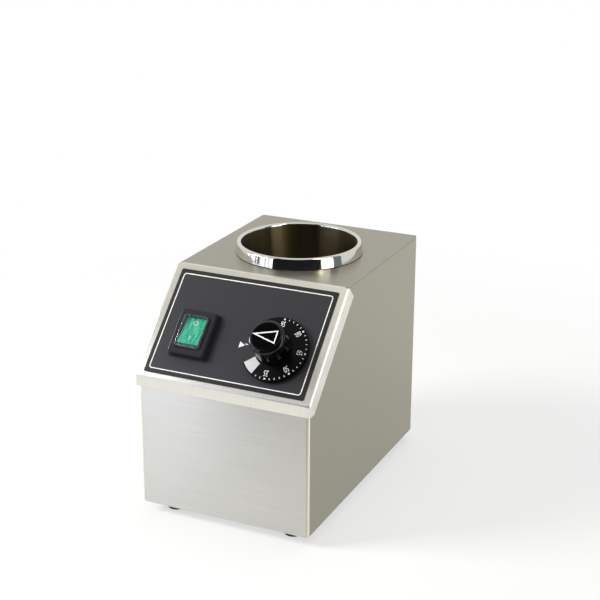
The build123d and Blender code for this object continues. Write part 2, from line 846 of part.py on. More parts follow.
def switch_frame():
    """Stepped frame round the switch."""
    body = plate(frame_width, frame_length, label_thick, frame_flange, 1.2)
    step = plate(*frame_step, frame_flange, frame_height, 2)
    step = chamfer(step.edges().group_by(Axis.Z)[-1], 1.1)
    recess_top = switch_flange_top + cover_skirt
    body = body + step
    recess = [size + hole_clearance for size in switch_flange_size]
    opening = [size + hole_clearance for size in cover_outer]
    body -= plate(*recess, 0, recess_top, 1.5)
    body -= plate(*opening, 0, frame_height + 1, 2)
    rim = body.edges().group_by(Axis.Z)[-1]
    inner = rim.filter_by(lambda e: abs(e.center().X) <= opening[0] / 2)
    inner = inner.filter_by(lambda e: abs(e.center().Y) <= opening[1] / 2)
    return panel * switch_at * chamfer(inner, 0.8)


# --------------------------------------------------------------- sensing and safety
bulb_radius = 3.0
bulb_low, bulb_high = band_high + 9, sleeve_high - 4
bulb_angle = -102.0
bulb_r = well_outer + 0.6 + bulb_radius
clip_sheet = 0.5
clip_inset = 12.0  # middle of a clip, from the bulb's end
clip_half = 4.0
clip_foot = 6.0  # its welded foot, either side of the bulb
clip_mouth = 1.6
cutout_inset = 20.0  # degrees, its middle from the edge of the sleeve's opening
cutout_angle = -90 + sleeve_opening / 2 - cutout_inset
cutout_z = 128.0


def thermostat_bulb():
    """Sensing bulb upright against the cup."""
    body = rod(bulb_radius, bulb_low, bulb_high)
    ends = body.edges().filter_by(GeomType.CIRCLE)
    body = fillet(ends, 1.5)
    return Pos(0, well_y, 0) * Rot(0, 0, bulb_angle) * Pos(bulb_r, 0, 0) * body


def bulb_clips():
    """Two spring clips, welded to the cup, that hold the bulb."""
    inner = bulb_radius + fit_gap
    for z in (bulb_low + clip_inset, bulb_high - clip_inset):
        low, high = z - clip_half, z + clip_half
        clip = ring(inner, inner + clip_sheet, low, high)
        clip -= block(1.2, bulb_radius + 2, -clip_mouth, clip_mouth, low - 1, high + 1)
        foot = block(-bulb_radius - 0.6, -inner, -clip_foot, clip_foot, low, high)
        clip = clip + foot
        yield Pos(0, well_y, 0) * Rot(0, 0, bulb_angle) * Pos(bulb_r, 0, 0) * clip


cutout_r = well_outer + fit_gap
cutout_pitch = 23.0


def cutout_bracket():
    """Small plate welded to the cup for the thermal cut-out."""
    body = block(0, 1.2, -15, 15, -8, 8)
    for side in (-1, 1):
        body -= Pos(0, side * cutout_pitch / 2, 0) * Rot(0, 90, 0) * Cylinder(1.5 + thread_gap, 6)
    return cutout_place() * body


def cutout_place():
    """Frame of the cut-out: X points away from the cup."""
    return Pos(0, well_y, cutout_z) * Rot(0, 0, cutout_angle) * Pos(cutout_r, 0, 0)


def thermal_cutout():
    """Bimetal disc cut-out with a mounting flange and two blades."""
    flange_plate = block(1.2, 1.9, -15, 15, -4, 4)
    for side in (-1, 1):
        flange_plate -= Pos(0, side * cutout_pitch / 2, 0) * Rot(0, 90, 0) * Cylinder(1.6, 6)
    can = Rot(0, 90, 0) * rod(7.8, 1.2, 9)
    blades = block(9, 16, -5.4, -4.6, -2.4, 2.4) + block(9, 16, 4.6, 5.4, -2.4, 2.4)
    return cutout_place() * (flange_plate + can + blades)


def cutout_screws():
    """Its two small screws."""
    for side in (-1, 1):
        at = Pos(1.9, side * cutout_pitch / 2, 0) * Rot(0, 90, 0)
        yield cutout_place() * at * pan_screw(1.5, 2.6, 1.6, 1.8)


# ------------------------------------------------------------- supply and earth
inlet_cut = (28.0, 20.5)
inlet_face = (50.0, 24.0)
inlet_face_corner = 5.0
inlet_cavity = (24.0, 16.6)
inlet_corner = 3.5
inlet_floor = 3.0
inlet_screw_radius = 1.5
inlet_screw_hole = 1.7
inlet_head_radius = 3.0
inlet_pitch = 40.0
inlet_body = (27.4, 20.0)
inlet_depth = 16.0
pin_places = ((-7.0, -2.0), (0.0, 2.0), (7.0, -2.0))


def mains_inlet():
    """Appliance inlet in the back wall, with its socket cavity."""
    face = plate(*inlet_face, 0, inlet_flange, inlet_face_corner)
    body = plate(*inlet_body, -inlet_depth, inlet_flange, inlet_corner)
    cavity = plate(*inlet_cavity, inlet_floor - inlet_depth, inlet_flange + 1, inlet_corner - 0.5)
    shell = face + body - cavity
    for side in (-1, 1):
        sink = cone(inlet_screw_hole, inlet_head_radius + 0.3, inlet_flange - 1.6, inlet_flange)
        hole = rod(inlet_screw_hole, -1, inlet_flange + 1) + sink
        shell -= Pos(side * inlet_pitch / 2, 0, 0) * hole
    for x, y in pin_places:
        shell -= Pos(x, y, 0) * block(-1.02, 1.02, -2.02, 2.02, -inlet_depth - 1, -inlet_depth + 4)
    return back_wall * shell


def inlet_pins():
    """Line, earth and neutral pins, with their blades inside."""
    for x, y in pin_places:
        pin = block(-1, 1, -2, 2, -inlet_depth, -2)
        pin += block(-0.4, 0.4, -2, 2, -inlet_depth - 9, -inlet_depth)
        yield back_wall * Pos(x, y, 0) * pin


def inlet_screws():
    """Countersunk screws through the inlet and the back wall."""
    for side in (-1, 1):
        head = cone(inlet_screw_radius + 0.05, inlet_head_radius, inlet_flange - 1.5, inlet_flange)
        shank = rod(inlet_screw_radius, -7, inlet_flange - 1.5)
        slot = Box(0.8, 7, 1.4)
        screw = head + shank - Pos(0, 0, inlet_flange) * slot
        yield back_wall * Pos(side * inlet_pitch / 2, 0, 0) * screw


def inlet_nuts():
    """Their nuts behind the back wall."""
    for side in (-1, 1):
        at = Pos(side * inlet_pitch / 2, 0, -sheet) * Rot(180, 0, 0)
        yield back_wall * at * plain_nut(inlet_screw_radius, 5.5, 2.4)


earth_x, earth_y = -12.0, back_y - 34
block_x, block_y = -30.0, front_y + 40
block_size = (38.0, 20.0, 15.0)
way_pitch = 12.0
way_z = 9.0  # above the base plate
block_fixings = [(block_x + side * way_pitch / 2, block_y) for side in (-1, 1)]


def terminal_block():
    """Three-way porcelain terminal block on the base plate."""
    w, l, h = block_size
    body = block(-w / 2, w / 2, -l / 2, l / 2, 0, h)
    body = fillet(body.edges().filter_by(Axis.Z), 1.5)
    for way in (-1, 0, 1):
        at = Pos(way * way_pitch, 0, 0)
        body -= at * Pos(0, 0, way_z) * Rot(90, 0, 0) * Cylinder(2.6, l + 2)
        for end in (-1, 1):
            body -= at * Pos(0, end * 5, 0) * rod(2, way_z, h + 1)
    for side in (-1, 1):
        body -= Pos(side * way_pitch / 2, 0, 0) * (rod(1.7, -1, h + 1) + rod(3.1, h - 3, h + 1))
    return Pos(block_x, block_y, base_z) * body


def terminal_sleeves():
    """Brass sleeves in the block's three ways."""
    half = block_size[1] / 2 - 1
    for way in (-1, 0, 1):
        tube = Cylinder(2.55, 2 * half) - Cylinder(1.5, 2 * half + 2)
        tube = Rot(90, 0, 0) * tube
        for end in (-1, 1):
            tube -= Pos(0, end * 5, 0) * rod(1.5, 0, 4)
        yield Pos(block_x + way * way_pitch, block_y, base_z + way_z) * tube


def terminal_screws():
    """Six clamping screws in the brass sleeves."""
    for way in (-1, 0, 1):
        for end in (-1, 1):
            at = Pos(block_x + way * way_pitch, block_y + end * 5, base_z + way_z)
            screw = rod(1.45, 1.3, 5) - Pos(0, 0, 5) * Box(4, 0.6, 1.2)
            yield at * screw


def block_screws():
    """Two screws that hold the block down."""
    for x, y in block_fixings:
        yield Pos(x, y, base_z + block_size[2] - 3) * pan_screw(1.5, 2.8, 1.8, block_size[2] - 3 + 5)


def block_nuts():
    """Their nuts under the base plate."""
    for x, y in block_fixings:
        yield Pos(x, y, base_z - sheet) * Rot(180, 0, 0) * plain_nut(1.5, 5.5, 2.4)


def earth_stud():
    """Earthing screw up through the base plate."""
    return Pos(earth_x, earth_y, base_z - sheet) * Rot(180, 0, 0) * pan_screw(stud_radius, 3.8, 2.2, 14)


tag_thick = 0.8
tag_barrel = 8.0


def earth_tag():
    """Crimped ring tag on the earthing screw."""
    body = ring(stud_hole, 4.4, 0, tag_thick)
    body += block(-4.4 - 3, -3.4, -1.5, 1.5, 0, tag_thick)
    barrel = Rot(0, -90, 0) * rod(2.0, 6.4, 6.4 + tag_barrel)
    body += Pos(0, 0, 2.0) * barrel
    return Pos(earth_x, earth_y, base_z) * body


def earth_nut():
    """Its nut on the tag."""
    return Pos(earth_x, earth_y, base_z + tag_thick) * plain_nut(stud_radius, nut_across, nut_height)


# --------------------------------------------------------------------------- wiring
blade_length = 8.0
sleeve_start = 1.0
sleeve_end = 14.0
lead = 8.0
wire_radius = 1.2
bend_share = 0.45  # of the shorter run beside a bend
stat_tabs = (-9.0, 9.0)


def thermostat_tabs():
    """Blade terminals of the thermostat."""
    for x in stat_tabs:
        tab = block(-3.15, 3.15, -0.4, 0.4, stat_bottom - blade_length, stat_bottom)
        yield panel * dial_at * Pos(x, -8, 0) * tab


def slope_port(at, x, y, z):
    """Place of a blade that points straight in from the fascia."""
    return Location(panel) * at * Pos(x, y, z) * Rot(180, 0, 0)


def post_port(angle):
    """Place of a heater blade, pointing away from the well."""
    return Pos(0, well_y, post_z) * Rot(0, 0, angle) * Pos(post_r + 5.7, 0, 0) * Rot(0, 90, 0)


def cutout_port(side):
    """Place of one of the cut-out's blades."""
    return cutout_place() * Pos(9, side * 5, 0) * Rot(0, 90, 0)


def inlet_port(x, y):
    """Place of an inlet blade inside the back wall."""
    return Location(back_wall) * Pos(x, y, -inlet_depth - 1) * Rot(180, 0, 0) * Rot(0, 0, 90)


switch_in = slope_port(switch_at, 0, 0, -switch_depth)
switch_out = slope_port(switch_at, 0, tab_ys[2], -switch_depth)
stat_in = slope_port(dial_at, stat_tabs[0], -8, stat_bottom)
stat_out = slope_port(dial_at, stat_tabs[1], -8, stat_bottom)
cutout_in, cutout_out = cutout_port(1), cutout_port(-1)
post_in, post_out = (post_port(angle) for angle in post_angles)
inlet_line, inlet_earth, inlet_neutral = (inlet_port(x, y) for x, y in pin_places)
ports = [
    switch_in,
    switch_out,
    stat_in,
    stat_out,
    cutout_in,
    cutout_out,
    post_in,
    post_out,
    inlet_line,
    inlet_earth,
    inlet_neutral,
]


def receptacles():
    """Insulated push-on receptacles on the blades."""
    for port in ports:
        body = block(-4, 4, -1.7, 1.7, sleeve_start, sleeve_end)
        body = fillet(body.edges().filter_by(Axis.Z), 1.2)
        yield port * (body - block(-3.4, 3.4, -0.55, 0.55, 0, blade_length + 1.5))


def from_port(port, out):
    """A point in line with a blade, `out` from its root."""
    return (port * Pos(0, 0, out)).position


def tube_along(points, radius):
    """Round tube along a route, with bends as wide as its runs allow."""
    route = [Vector(*p) if isinstance(p, tuple) else p for p in points]
    bends = []
    for a, b, c in zip(route, route[1:], route[2:]):
        turn = (b - a).get_angle(c - b)
        short = min((b - a).length, (c - b).length)
        bends.append(bend_share * short / tan(radians(turn / 2)))
    path = FilletPolyline(*route, radius=bends)
    section = Plane(origin=path @ 0, z_dir=path % 0) * Circle(radius)
    return sweep(section, path)


def wire(points):
    """Insulated lead along a route."""
    return tube_along(points, wire_radius)


def port_to_port(a, via, b):
    """A lead between two receptacles."""
    ends = (from_port(a, sleeve_end), from_port(a, sleeve_end + lead))
    far = (from_port(b, sleeve_end + lead), from_port(b, sleeve_end))
    return wire([*ends, *via, *far])


left_run = [
    (inlet_x - 4, back_y - 52, base_z + 14),
    (-half_width + 14, well_y, base_z + 10),
    (-half_width + 10, front_y + 74, base_z + 12),
]


def live_wires():
    """Brown leads: inlet, switch, thermostat, cut-out, heater."""
    rise = (-half_width + 16, front_y + 52, base_z + 62)
    yield port_to_port(inlet_line, left_run + [rise], switch_in)
    yield port_to_port(switch_out, [(-12, fold_y - 14, base_z + 94)], stat_in)
    yield port_to_port(stat_out, [(dial_x + 7, fold_y - 2, base_z + 106)], cutout_in)
    yield port_to_port(cutout_out, [(dial_x - 9, fold_y - 8, base_z + 92)], post_in)


def neutral_wires():
    """Blue leads: inlet to terminal block, block to heater."""
    way_x = block_x - way_pitch
    back = block_y + block_size[1] / 2 - 1
    z = base_z + way_z
    ends = (from_port(inlet_neutral, sleeve_end), from_port(inlet_neutral, sleeve_end + lead))
    along = [
        (-half_width + 13, back_y - 56, base_z + 18),
        (-half_width + 10, well_y - 4, base_z + 20),
        (-half_width + 16, front_y + 78, base_z + 16),
    ]
    yield wire([*ends, *along, (way_x, back + 14, z), (way_x, back, z)])
    front = block_y - block_size[1] / 2 + 1
    far = (from_port(post_out, sleeve_end + lead), from_port(post_out, sleeve_end))
    down = [(way_x, front, z), (way_x, front - 12, z), (way_x - 1, front_y + 16, base_z + 34)]
    yield wire([*down, (-38, front_y + 44, base_z + 56), *far])


def earth_wire():
    """Green and yellow lead from the inlet to the earthing screw."""
    ends = (from_port(inlet_earth, sleeve_end), from_port(inlet_earth, sleeve_end + lead))
    x = earth_x - 6.4 - tag_barrel
    z = base_z + 2.0
    return wire([*ends, (x - 14, earth_y - 4, z + 3), (x - 5, earth_y, z), (x, earth_y, z)])


capillary_radius = 0.7
capillary_gap = 8.0  # its route's nearest point to the cup


def thermostat_capillary():
    """Fine tube from the thermostat to the bulb."""
    start = Location(panel) * dial_at * Pos(-10, stat_size[1] / 2, stat_top - 14)
    top = Pos(0, well_y, bulb_high) * Rot(0, 0, bulb_angle) * Pos(bulb_r, 0, 0)
    end = top.position
    points = [
        start.position,
        (start * Pos(0, 10, 0)).position,
        Vector(dial_x - 21, fold_y - 1, top_z - 22),
        Vector(dial_x - 33, well_y - well_outer - capillary_gap, top_z - 12),
        end + Vector(0, 0, 12),
        end,
    ]
    return tube_along(points, capillary_radius)


def switch_lamp():
    """Neon lamp on the floor of the switch housing."""
    body = Rot(90, 0, 0) * Cylinder(2, 12)
    body = fillet(body.edges(), 1)
    return panel * switch_at * Pos(6.4, 0, -switch_depth + 4) * body


# ------------------------------------------------------------------------- write
nodes = {
    "casing_wrap": casing_wrap(),
    "top_plate": top_plate(),
    "front_panel": front_panel(),
    "fascia": fascia(),
    "label_overlay": label_overlay(),
    "base_plate": base_plate(),
    "feet": group(Pos(x, y, 0) * foot() for x, y in feet_places),
    "foot_screws": group(Pos(x, y, 0) * foot_screw() for x, y in feet_places),
    "foot_nuts": group(Pos(x, y, base_z) * foot_nut() for x, y in feet_places),
    "base_screws": group(Pos(x, y, 0) * base_screw() for x, y in base_fixings),
    "clinch_nuts": group(Pos(x, y, base_z) * clinch_nut() for x, y in base_fixings),
    "stud_nuts": group(
        [Pos(x, y, top_z - 2 * sheet) * Rot(180, 0, 0) * stud_nut() for x, y in top_studs]
        + [
            panel * Pos(x, -down, -fascia_sheet - sheet) * Rot(180, 0, 0) * stud_nut()
            for x, down in slope_studs
        ]
        + [Pos(x, front_y + 2 * sheet, z) * Rot(-90, 0, 0) * stud_nut() for x, z in front_studs]
    ),
    "well_cup": well_cup(),
    "well_gasket": well_gasket(),
    "well_pad": well_pad(),
    "well_bracket": well_bracket(),
    "well_nut": well_nut(),
    "bracket_screws": group(
        Pos(x, y, base_z - sheet) * Rot(180, 0, 0) * pan_screw(stud_radius, 3.8, 2.2, 7.5)
        for x, y in bracket_fixings
    ),
    "bracket_nuts": group(
        Pos(x, y, base_z + bracket_sheet) * plain_nut(stud_radius, nut_across, nut_height)
        for x, y in bracket_fixings
    ),
    "heater_band": heater_band(),
    "clamp_screws": group(clamp_screws()),
    "clamp_nuts": group(clamp_nuts()),
    "heater_posts": group(heater_posts()),
    "insulation_sleeve": insulation_sleeve(),
    "sleeve_straps": group(sleeve_straps()),
    "thermostat_bridge": thermostat_bridge(),
    "thermostat_body": thermostat_body(),
    "thermostat_tabs": group(thermostat_tabs()),
    "dial_screws": group(dial_screws()),
    "thermostat_spindle": thermostat_spindle(),
    "dial_knob": dial_knob(),
    "thermostat_capillary": thermostat_capillary(),
    "thermostat_bulb": thermostat_bulb(),
    "bulb_clips": group(bulb_clips()),
    "switch_body": switch_body(),
    "switch_tabs": group(switch_tabs()),
    "switch_contact": switch_contact(),
    "switch_rocker": switch_rocker(),
    "switch_plunger": switch_plunger(),
    "switch_spring": switch_spring(),
    "switch_lamp": switch_lamp(),
    "switch_cover": switch_cover(),
    "switch_frame": switch_frame(),
    "cutout_bracket": cutout_bracket(),
    "thermal_cutout": thermal_cutout(),
    "cutout_screws": group(cutout_screws()),
    "mains_inlet": mains_inlet(),
    "inlet_pins": group(inlet_pins()),
    "inlet_screws": group(inlet_screws()),
    "inlet_nuts": group(inlet_nuts()),
    "terminal_block": terminal_block(),
    "terminal_sleeves": group(terminal_sleeves()),
    "terminal_screws": group(terminal_screws()),
    "block_screws": group(block_screws()),
    "block_nuts": group(block_nuts()),
    "earth_stud": earth_stud(),
    "earth_tag": earth_tag(),
    "earth_nut": earth_nut(),
    "receptacles": group(receptacles()),
    "wiring": group([*live_wires(), *neutral_wires(), earth_wire()]),
}

for name, shape in nodes.items():
    save(name, shape)
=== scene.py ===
"""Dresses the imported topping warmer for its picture.

The folded sheets of the body keep their CAD shape and get brushed finishes. The
polished well, the dial, the switch's marks and the panel's print are modelled here in
finer meshes, each in the place that the frame gives. Lengths are metres, in the
frame's own axes, and fields that end in _mm are millimetres.
"""

import json
import logging
import math
from dataclasses import dataclass, field
from enum import Enum
from typing import Any, Callable

import bmesh
import bpy
from mathutils import Matrix, Quaternion, Vector

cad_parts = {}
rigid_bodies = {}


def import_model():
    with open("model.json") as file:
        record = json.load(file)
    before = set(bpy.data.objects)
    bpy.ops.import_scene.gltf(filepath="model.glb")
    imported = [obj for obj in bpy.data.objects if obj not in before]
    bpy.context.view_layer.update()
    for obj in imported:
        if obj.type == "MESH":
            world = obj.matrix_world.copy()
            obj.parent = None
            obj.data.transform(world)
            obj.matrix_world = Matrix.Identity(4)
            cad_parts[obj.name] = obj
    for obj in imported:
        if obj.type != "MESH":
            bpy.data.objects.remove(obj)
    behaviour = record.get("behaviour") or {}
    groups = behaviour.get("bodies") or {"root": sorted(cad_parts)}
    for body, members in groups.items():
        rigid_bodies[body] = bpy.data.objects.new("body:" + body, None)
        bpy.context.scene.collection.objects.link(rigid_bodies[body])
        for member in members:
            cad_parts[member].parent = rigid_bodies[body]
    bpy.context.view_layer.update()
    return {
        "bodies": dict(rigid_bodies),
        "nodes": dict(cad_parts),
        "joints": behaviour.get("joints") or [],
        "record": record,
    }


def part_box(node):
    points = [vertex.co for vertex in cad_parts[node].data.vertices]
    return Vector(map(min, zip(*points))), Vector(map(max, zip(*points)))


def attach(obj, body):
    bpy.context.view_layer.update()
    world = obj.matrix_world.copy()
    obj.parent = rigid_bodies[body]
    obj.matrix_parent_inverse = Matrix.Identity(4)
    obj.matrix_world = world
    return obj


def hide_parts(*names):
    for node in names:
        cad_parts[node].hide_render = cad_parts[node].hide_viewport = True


MM = 0.001
NEAR = 1e-6
SMOOTH_LIMIT = math.radians(35)
CORNER_STEPS = 8
# An even triangle's height and side, in radii of the ring through its three points.
TRIANGLE_HEIGHT = 1.5
TRIANGLE_SIDE = math.sqrt(3)
LOG = logging.getLogger("warmer")
MADE: dict[str, bpy.types.Material] = {}
FRAME: dict[str, Any] = {}


# ---------------------------------------------------------------------- small tools
def linear(code: str) -> tuple[float, float, float, float]:
    """Turn a colour from sRGB hex into linear light.

    Args:
        code: The colour as #rrggbb.

    Returns:
        Red, green, blue and an alpha of one.
    """
    channels = [int(code[at : at + 2], 16) / 255 for at in (1, 3, 5)]
    light = [c / 12.92 if c <= 0.04045 else ((c + 0.055) / 1.055) ** 2.4 for c in channels]
    return (light[0], light[1], light[2], 1.0)


def add_node(
    tree: bpy.types.NodeTree,
    kind: str,
    inputs: dict[Any, Any] | None = None,
    settings: dict[str, Any] | None = None,
) -> bpy.types.Node:
    """Add one shader node with its settings, values and links.

    Args:
        tree: The material's or world's node tree.
        kind: The node's type name, without the ShaderNode prefix.
        inputs: Socket name or number to a value, or to the socket that feeds it.
        settings: Attribute name to value.

    Returns:
        The new node.
    """
    node = tree.nodes.new(f"ShaderNode{kind}")
    for name, value in (settings or {}).items():
        setattr(node, name, value)
    for key, value in (inputs or {}).items():
        if isinstance(value, bpy.types.NodeSocket):
            tree.links.new(value, node.inputs[key])
        else:
            node.inputs[key].default_value = value
    return node


def mix_colours(
    tree: bpy.types.NodeTree, share: bpy.types.NodeSocket, first: Any, second: Any
) -> bpy.types.NodeSocket:
    """Mix two colours.

    Args:
        tree: The material's node tree.
        share: Share of the second colour.
        first: The first colour, or the socket that gives it.
        second: The second one.

    Returns:
        The mixed colour's socket.
    """
    # A Mix node's sockets share names across its data types: 6 and 7 are its colours.
    mix = add_node(tree, "Mix", {0: share, 6: first, 7: second}, {"data_type": "RGBA"})
    return mix.outputs[2]


class Grain(Enum):
    """Axes that a brushed grain runs along, and the way across it in the sheet's plane."""

    FRONT = ((1, 0, 0), (0, 0, 1))
    TOP = ((1, 0, 0), (0, 1, 0))
    SIDE = ((0, 1, 0), (0, 0, 1))
    SLOPE = ((0, 1, 1), (1, 0, 0))


# -------------------------------------------------------------------------- finishes
@dataclass(frozen=True)
class Finish:
    """What a surface is made of and how it was made."""

    name: str
    colour: str
    roughness: float
    metallic: float = 0.0
    ior: float | None = None

    def material(self) -> bpy.types.Material:
        """Return the finish's material, made on first use."""
        if self.name in MADE:
            return MADE[self.name]
        material = MADE.setdefault(self.name, bpy.data.materials.new(self.name))
        material.use_nodes = True
        tree = material.node_tree
        shader = tree.nodes["Principled BSDF"]
        shader.inputs["Base Color"].default_value = linear(self.colour)
        shader.inputs["Roughness"].default_value = self.roughness
        shader.inputs["Metallic"].default_value = self.metallic
        if self.ior is not None:
            shader.inputs["IOR"].default_value = self.ior
        self.dress(tree, shader)
        return material

    def dress(self, tree: bpy.types.NodeTree, shader: bpy.types.Node) -> None:
        """Add the finish's own pattern.

        Args:
            tree: The material's node tree.
            shader: Its Principled BSDF.
        """
        raise NotImplementedError

    def noise(
        self,
        tree: bpy.types.NodeTree,
        size_mm: tuple[float, float, float],
        detail: float = 2.0,
    ) -> bpy.types.NodeSocket:
        """Add noise on the object's coordinates.

        Args:
            tree: The material's node tree.
            size_mm: Size of a patch along X, Y and Z.
            detail: Octaves of finer noise.

        Returns:
            The socket of its value, about 0.5 on average.
        """
        where = add_node(tree, "TexCoord")
        scale = Vector(1 / (size * MM) for size in size_mm)
        spread = add_node(tree, "Mapping", {"Vector": where.outputs["Object"], "Scale": scale})
        inputs = {"Vector": spread.outputs[0], "Scale": 1.0, "Detail": detail}
        return add_node(tree, "TexNoise", inputs).outputs["Fac"]

    def vary_colour(
        self,
        tree: bpy.types.NodeTree,
        shader: bpy.types.Node,
        fac: bpy.types.NodeSocket,
        other: str,
        low: float = 0.35,
        high: float = 0.65,
    ) -> None:
        """Let the colour drift to another one where the noise is high.

        Args:
            tree: The material's node tree.
            shader: Its Principled BSDF.
            fac: The noise.
            other: The other colour, as #rrggbb.
            low: Noise value that is all the finish's own colour.
            high: Noise value that is all the other colour.
        """
        span = add_node(tree, "MapRange", {"Value": fac, "From Min": low, "From Max": high})
        mixed = mix_colours(tree, span.outputs[0], linear(self.colour), linear(other))
        tree.links.new(mixed, shader.inputs["Base Color"])

    def vary_roughness(
        self,
        tree: bpy.types.NodeTree,
        shader: bpy.types.Node,
        fac: bpy.types.NodeSocket,
        spread: float,
        low: float = 0.3,
        high: float = 0.7,
    ) -> None:
        """Let the roughness drift either side of the finish's own.

        Args:
            tree: The material's node tree.
            shader: Its Principled BSDF.
            fac: The noise.
            spread: Largest step either side.
            low: Noise value that is glossiest.
            high: Noise value that is roughest.
        """
        inputs = {
            "Value": fac,
            "From Min": low,
            "From Max": high,
            "To Min": max(0.02, self.roughness - spread),
            "To Max": self.roughness + spread,
        }
        span = add_node(tree, "MapRange", inputs)
        tree.links.new(span.outputs[0], shader.inputs["Roughness"])

    def raise_grain(
        self,
        tree: bpy.types.NodeTree,
        shader: bpy.types.Node,
        fac: bpy.types.NodeSocket,
        height_mm: float,
        strength: float = 1.0,
    ) -> None:
        """Press the noise into the surface.

        Args:
            tree: The material's node tree.
            shader: Its Principled BSDF.
            fac: The noise.
            height_mm: Height of the relief.
            strength: Share of it that shows.
        """
        inputs = {"Height": fac, "Distance": height_mm * MM, "Strength": strength}
        bump = add_node(tree, "Bump", inputs)
        tree.links.new(bump.outputs[0], shader.inputs["Normal"])


@dataclass(frozen=True)
class BrushedSteel(Finish):
    """Stainless sheet with a satin grain from an abrasive belt.

    The belt leaves fine lines that blur reflections into a soft sheen. The real lines
    are about 0.1 mm apart; they are drawn coarser so that they show.
    """

    grain: Grain = Grain.FRONT
    stretch: float = 0.7
    line_mm: float = 0.9
    run_mm: float = 60.0
    other: str = "#b9b6ab"
    detail: float = 3.0
    gloss_drift: float = 0.05
    relief_mm: float = 0.02
    relief_share: float = 0.12
    # Painted highlight: ahead of a line along Y the colour turns lighter, standing for the light on
    # a folded edge.
    highlight_y_mm: float | None = None
    edge: str = "#f0ead8"
    highlight_blend_mm: float = 0.4

    def dress(self, tree: bpy.types.NodeTree, shader: bpy.types.Node) -> None:
        """Add the belt's lines, and stretch highlights across them.

        Args:
            tree: The material's node tree.
            shader: Its Principled BSDF.
        """
        along, across = self.grain.value
        size = tuple(self.run_mm if runs else self.line_mm for runs in along)
        lines = self.noise(tree, size, self.detail)
        self.vary_colour(tree, shader, lines, self.other)
        self.vary_roughness(tree, shader, lines, self.gloss_drift)
        self.raise_grain(tree, shader, lines, self.relief_mm, self.relief_share)
        if self.highlight_y_mm is not None:
            self.paint_edge_highlight(tree, shader, self.highlight_y_mm)
        way = add_node(tree, "CombineXYZ", dict(zip("XYZ", map(float, across))))
        tree.links.new(way.outputs[0], shader.inputs["Tangent"])
        shader.inputs["Anisotropic"].default_value = self.stretch

    def paint_edge_highlight(
        self, tree: bpy.types.NodeTree, shader: bpy.types.Node, highlight_y_mm: float
    ) -> None:
        """Paint a highlight on the folded edge ahead of a line: a lighter colour that stands for
        the light on the sheet's bend.

        Args:
            tree: The material's node tree.
            shader: Its Principled BSDF.
            highlight_y_mm: Where the bright edge starts, along Y.
        """
        where = add_node(tree, "TexCoord")
        split = add_node(tree, "SeparateXYZ", {0: where.outputs["Object"]})
        span = {
            "Value": split.outputs["Y"],
            "From Min": (highlight_y_mm - self.highlight_blend_mm / 2) * MM,
            "From Max": (highlight_y_mm + self.highlight_blend_mm / 2) * MM,
            "To Min": 1.0,
            "To Max": 0.0,
        }
        ahead = add_node(tree, "MapRange", span)
        body = shader.inputs["Base Color"].links[0].from_socket
        mixed = mix_colours(tree, ahead.outputs[0], body, linear(self.edge))
        tree.links.new(mixed, shader.inputs["Base Color"])


@dataclass(frozen=True)
class PolishedSteel(Finish):
    """Drawn stainless, buffed round its axis, so that highlights stretch up its wall."""

    line_mm: float = 2.2
    run_mm: float = 90.0
    stretch: float = 0.6
    gloss_drift: float = 0.03
    relief_mm: float = 0.01
    relief_share: float = 0.15

    def dress(self, tree: bpy.types.NodeTree, shader: bpy.types.Node) -> None:
        """Add the buffing's direction and its slight unevenness.

        Args:
            tree: The material's node tree.
            shader: Its Principled BSDF.
        """
        lines = self.noise(tree, (self.line_mm, self.line_mm, self.run_mm))
        self.vary_roughness(tree, shader, lines, self.gloss_drift)
        self.raise_grain(tree, shader, lines, self.relief_mm, self.relief_share)
        up = add_node(tree, "CombineXYZ", {"Z": 1.0})
        tree.links.new(up.outputs[0], shader.inputs["Tangent"])
        shader.inputs["Anisotropic"].default_value = self.stretch


@dataclass(frozen=True)
class Textured(Finish):
    """A surface with one fine pattern, which its colour, gloss and relief follow."""

    other: str = "#808080"
    patch_mm: tuple[float, float, float] = (1.0, 1.0, 1.0)
    detail: float = 2.0
    gloss_drift: float = 0.0
    relief_mm: float = 0.0
    relief_share: float = 0.5
    sheen: float = 0.0

    def dress(self, tree: bpy.types.NodeTree, shader: bpy.types.Node) -> None:
        """Add the pattern.

        Args:
            tree: The material's node tree.
            shader: Its Principled BSDF.
        """
        pattern = self.noise(tree, self.patch_mm, self.detail)
        self.vary_colour(tree, shader, pattern, self.other)
        if self.gloss_drift:
            self.vary_roughness(tree, shader, pattern, self.gloss_drift)
        if self.relief_mm:
            self.raise_grain(tree, shader, pattern, self.relief_mm, self.relief_share)
        shader.inputs["Sheen Weight"].default_value = self.sheen


@dataclass(frozen=True)
class PlatedMetal(Textured):
    """Zinc, nickel or brass on a small pressed or turned piece, a little cloudy."""

    metallic: float = 1.0
    other: str = "#8f8f92"
    patch_mm: tuple[float, float, float] = (3.0, 3.0, 3.0)
    detail: float = 4.0
    gloss_drift: float = 0.08


@dataclass(frozen=True)
class MouldedPlastic(Textured):
    """Injection-moulded plastic with the faint texture of its tool."""

    patch_mm: tuple[float, float, float] = (0.5, 0.5, 0.5)
    gloss_drift: float = 0.04
    relief_mm: float = 0.01
    relief_share: float = 0.4


@dataclass(frozen=True)
class PrintedFilm(Textured):
    """Polyester overlay whose printed ground has the film's orange peel."""

    patch_mm: tuple[float, float, float] = (0.8, 0.8, 0.8)
    detail: float = 3.0
    gloss_drift: float = 0.06
    relief_mm: float = 0.02


@dataclass(frozen=True)
class Ink(Textured):
    """Screen-printed ink, a little uneven where it lies thin."""

    patch_mm: tuple[float, float, float] = (0.7, 0.7, 0.7)


@dataclass(frozen=True)
class Felt(Textured):
    """Glass or ceramic fibre, pressed into felt."""

    patch_mm: tuple[float, float, float] = (1.2, 1.2, 0.5)
    detail: float = 6.0
    relief_mm: float = 0.3
    relief_share: float = 0.8
    sheen: float = 0.3


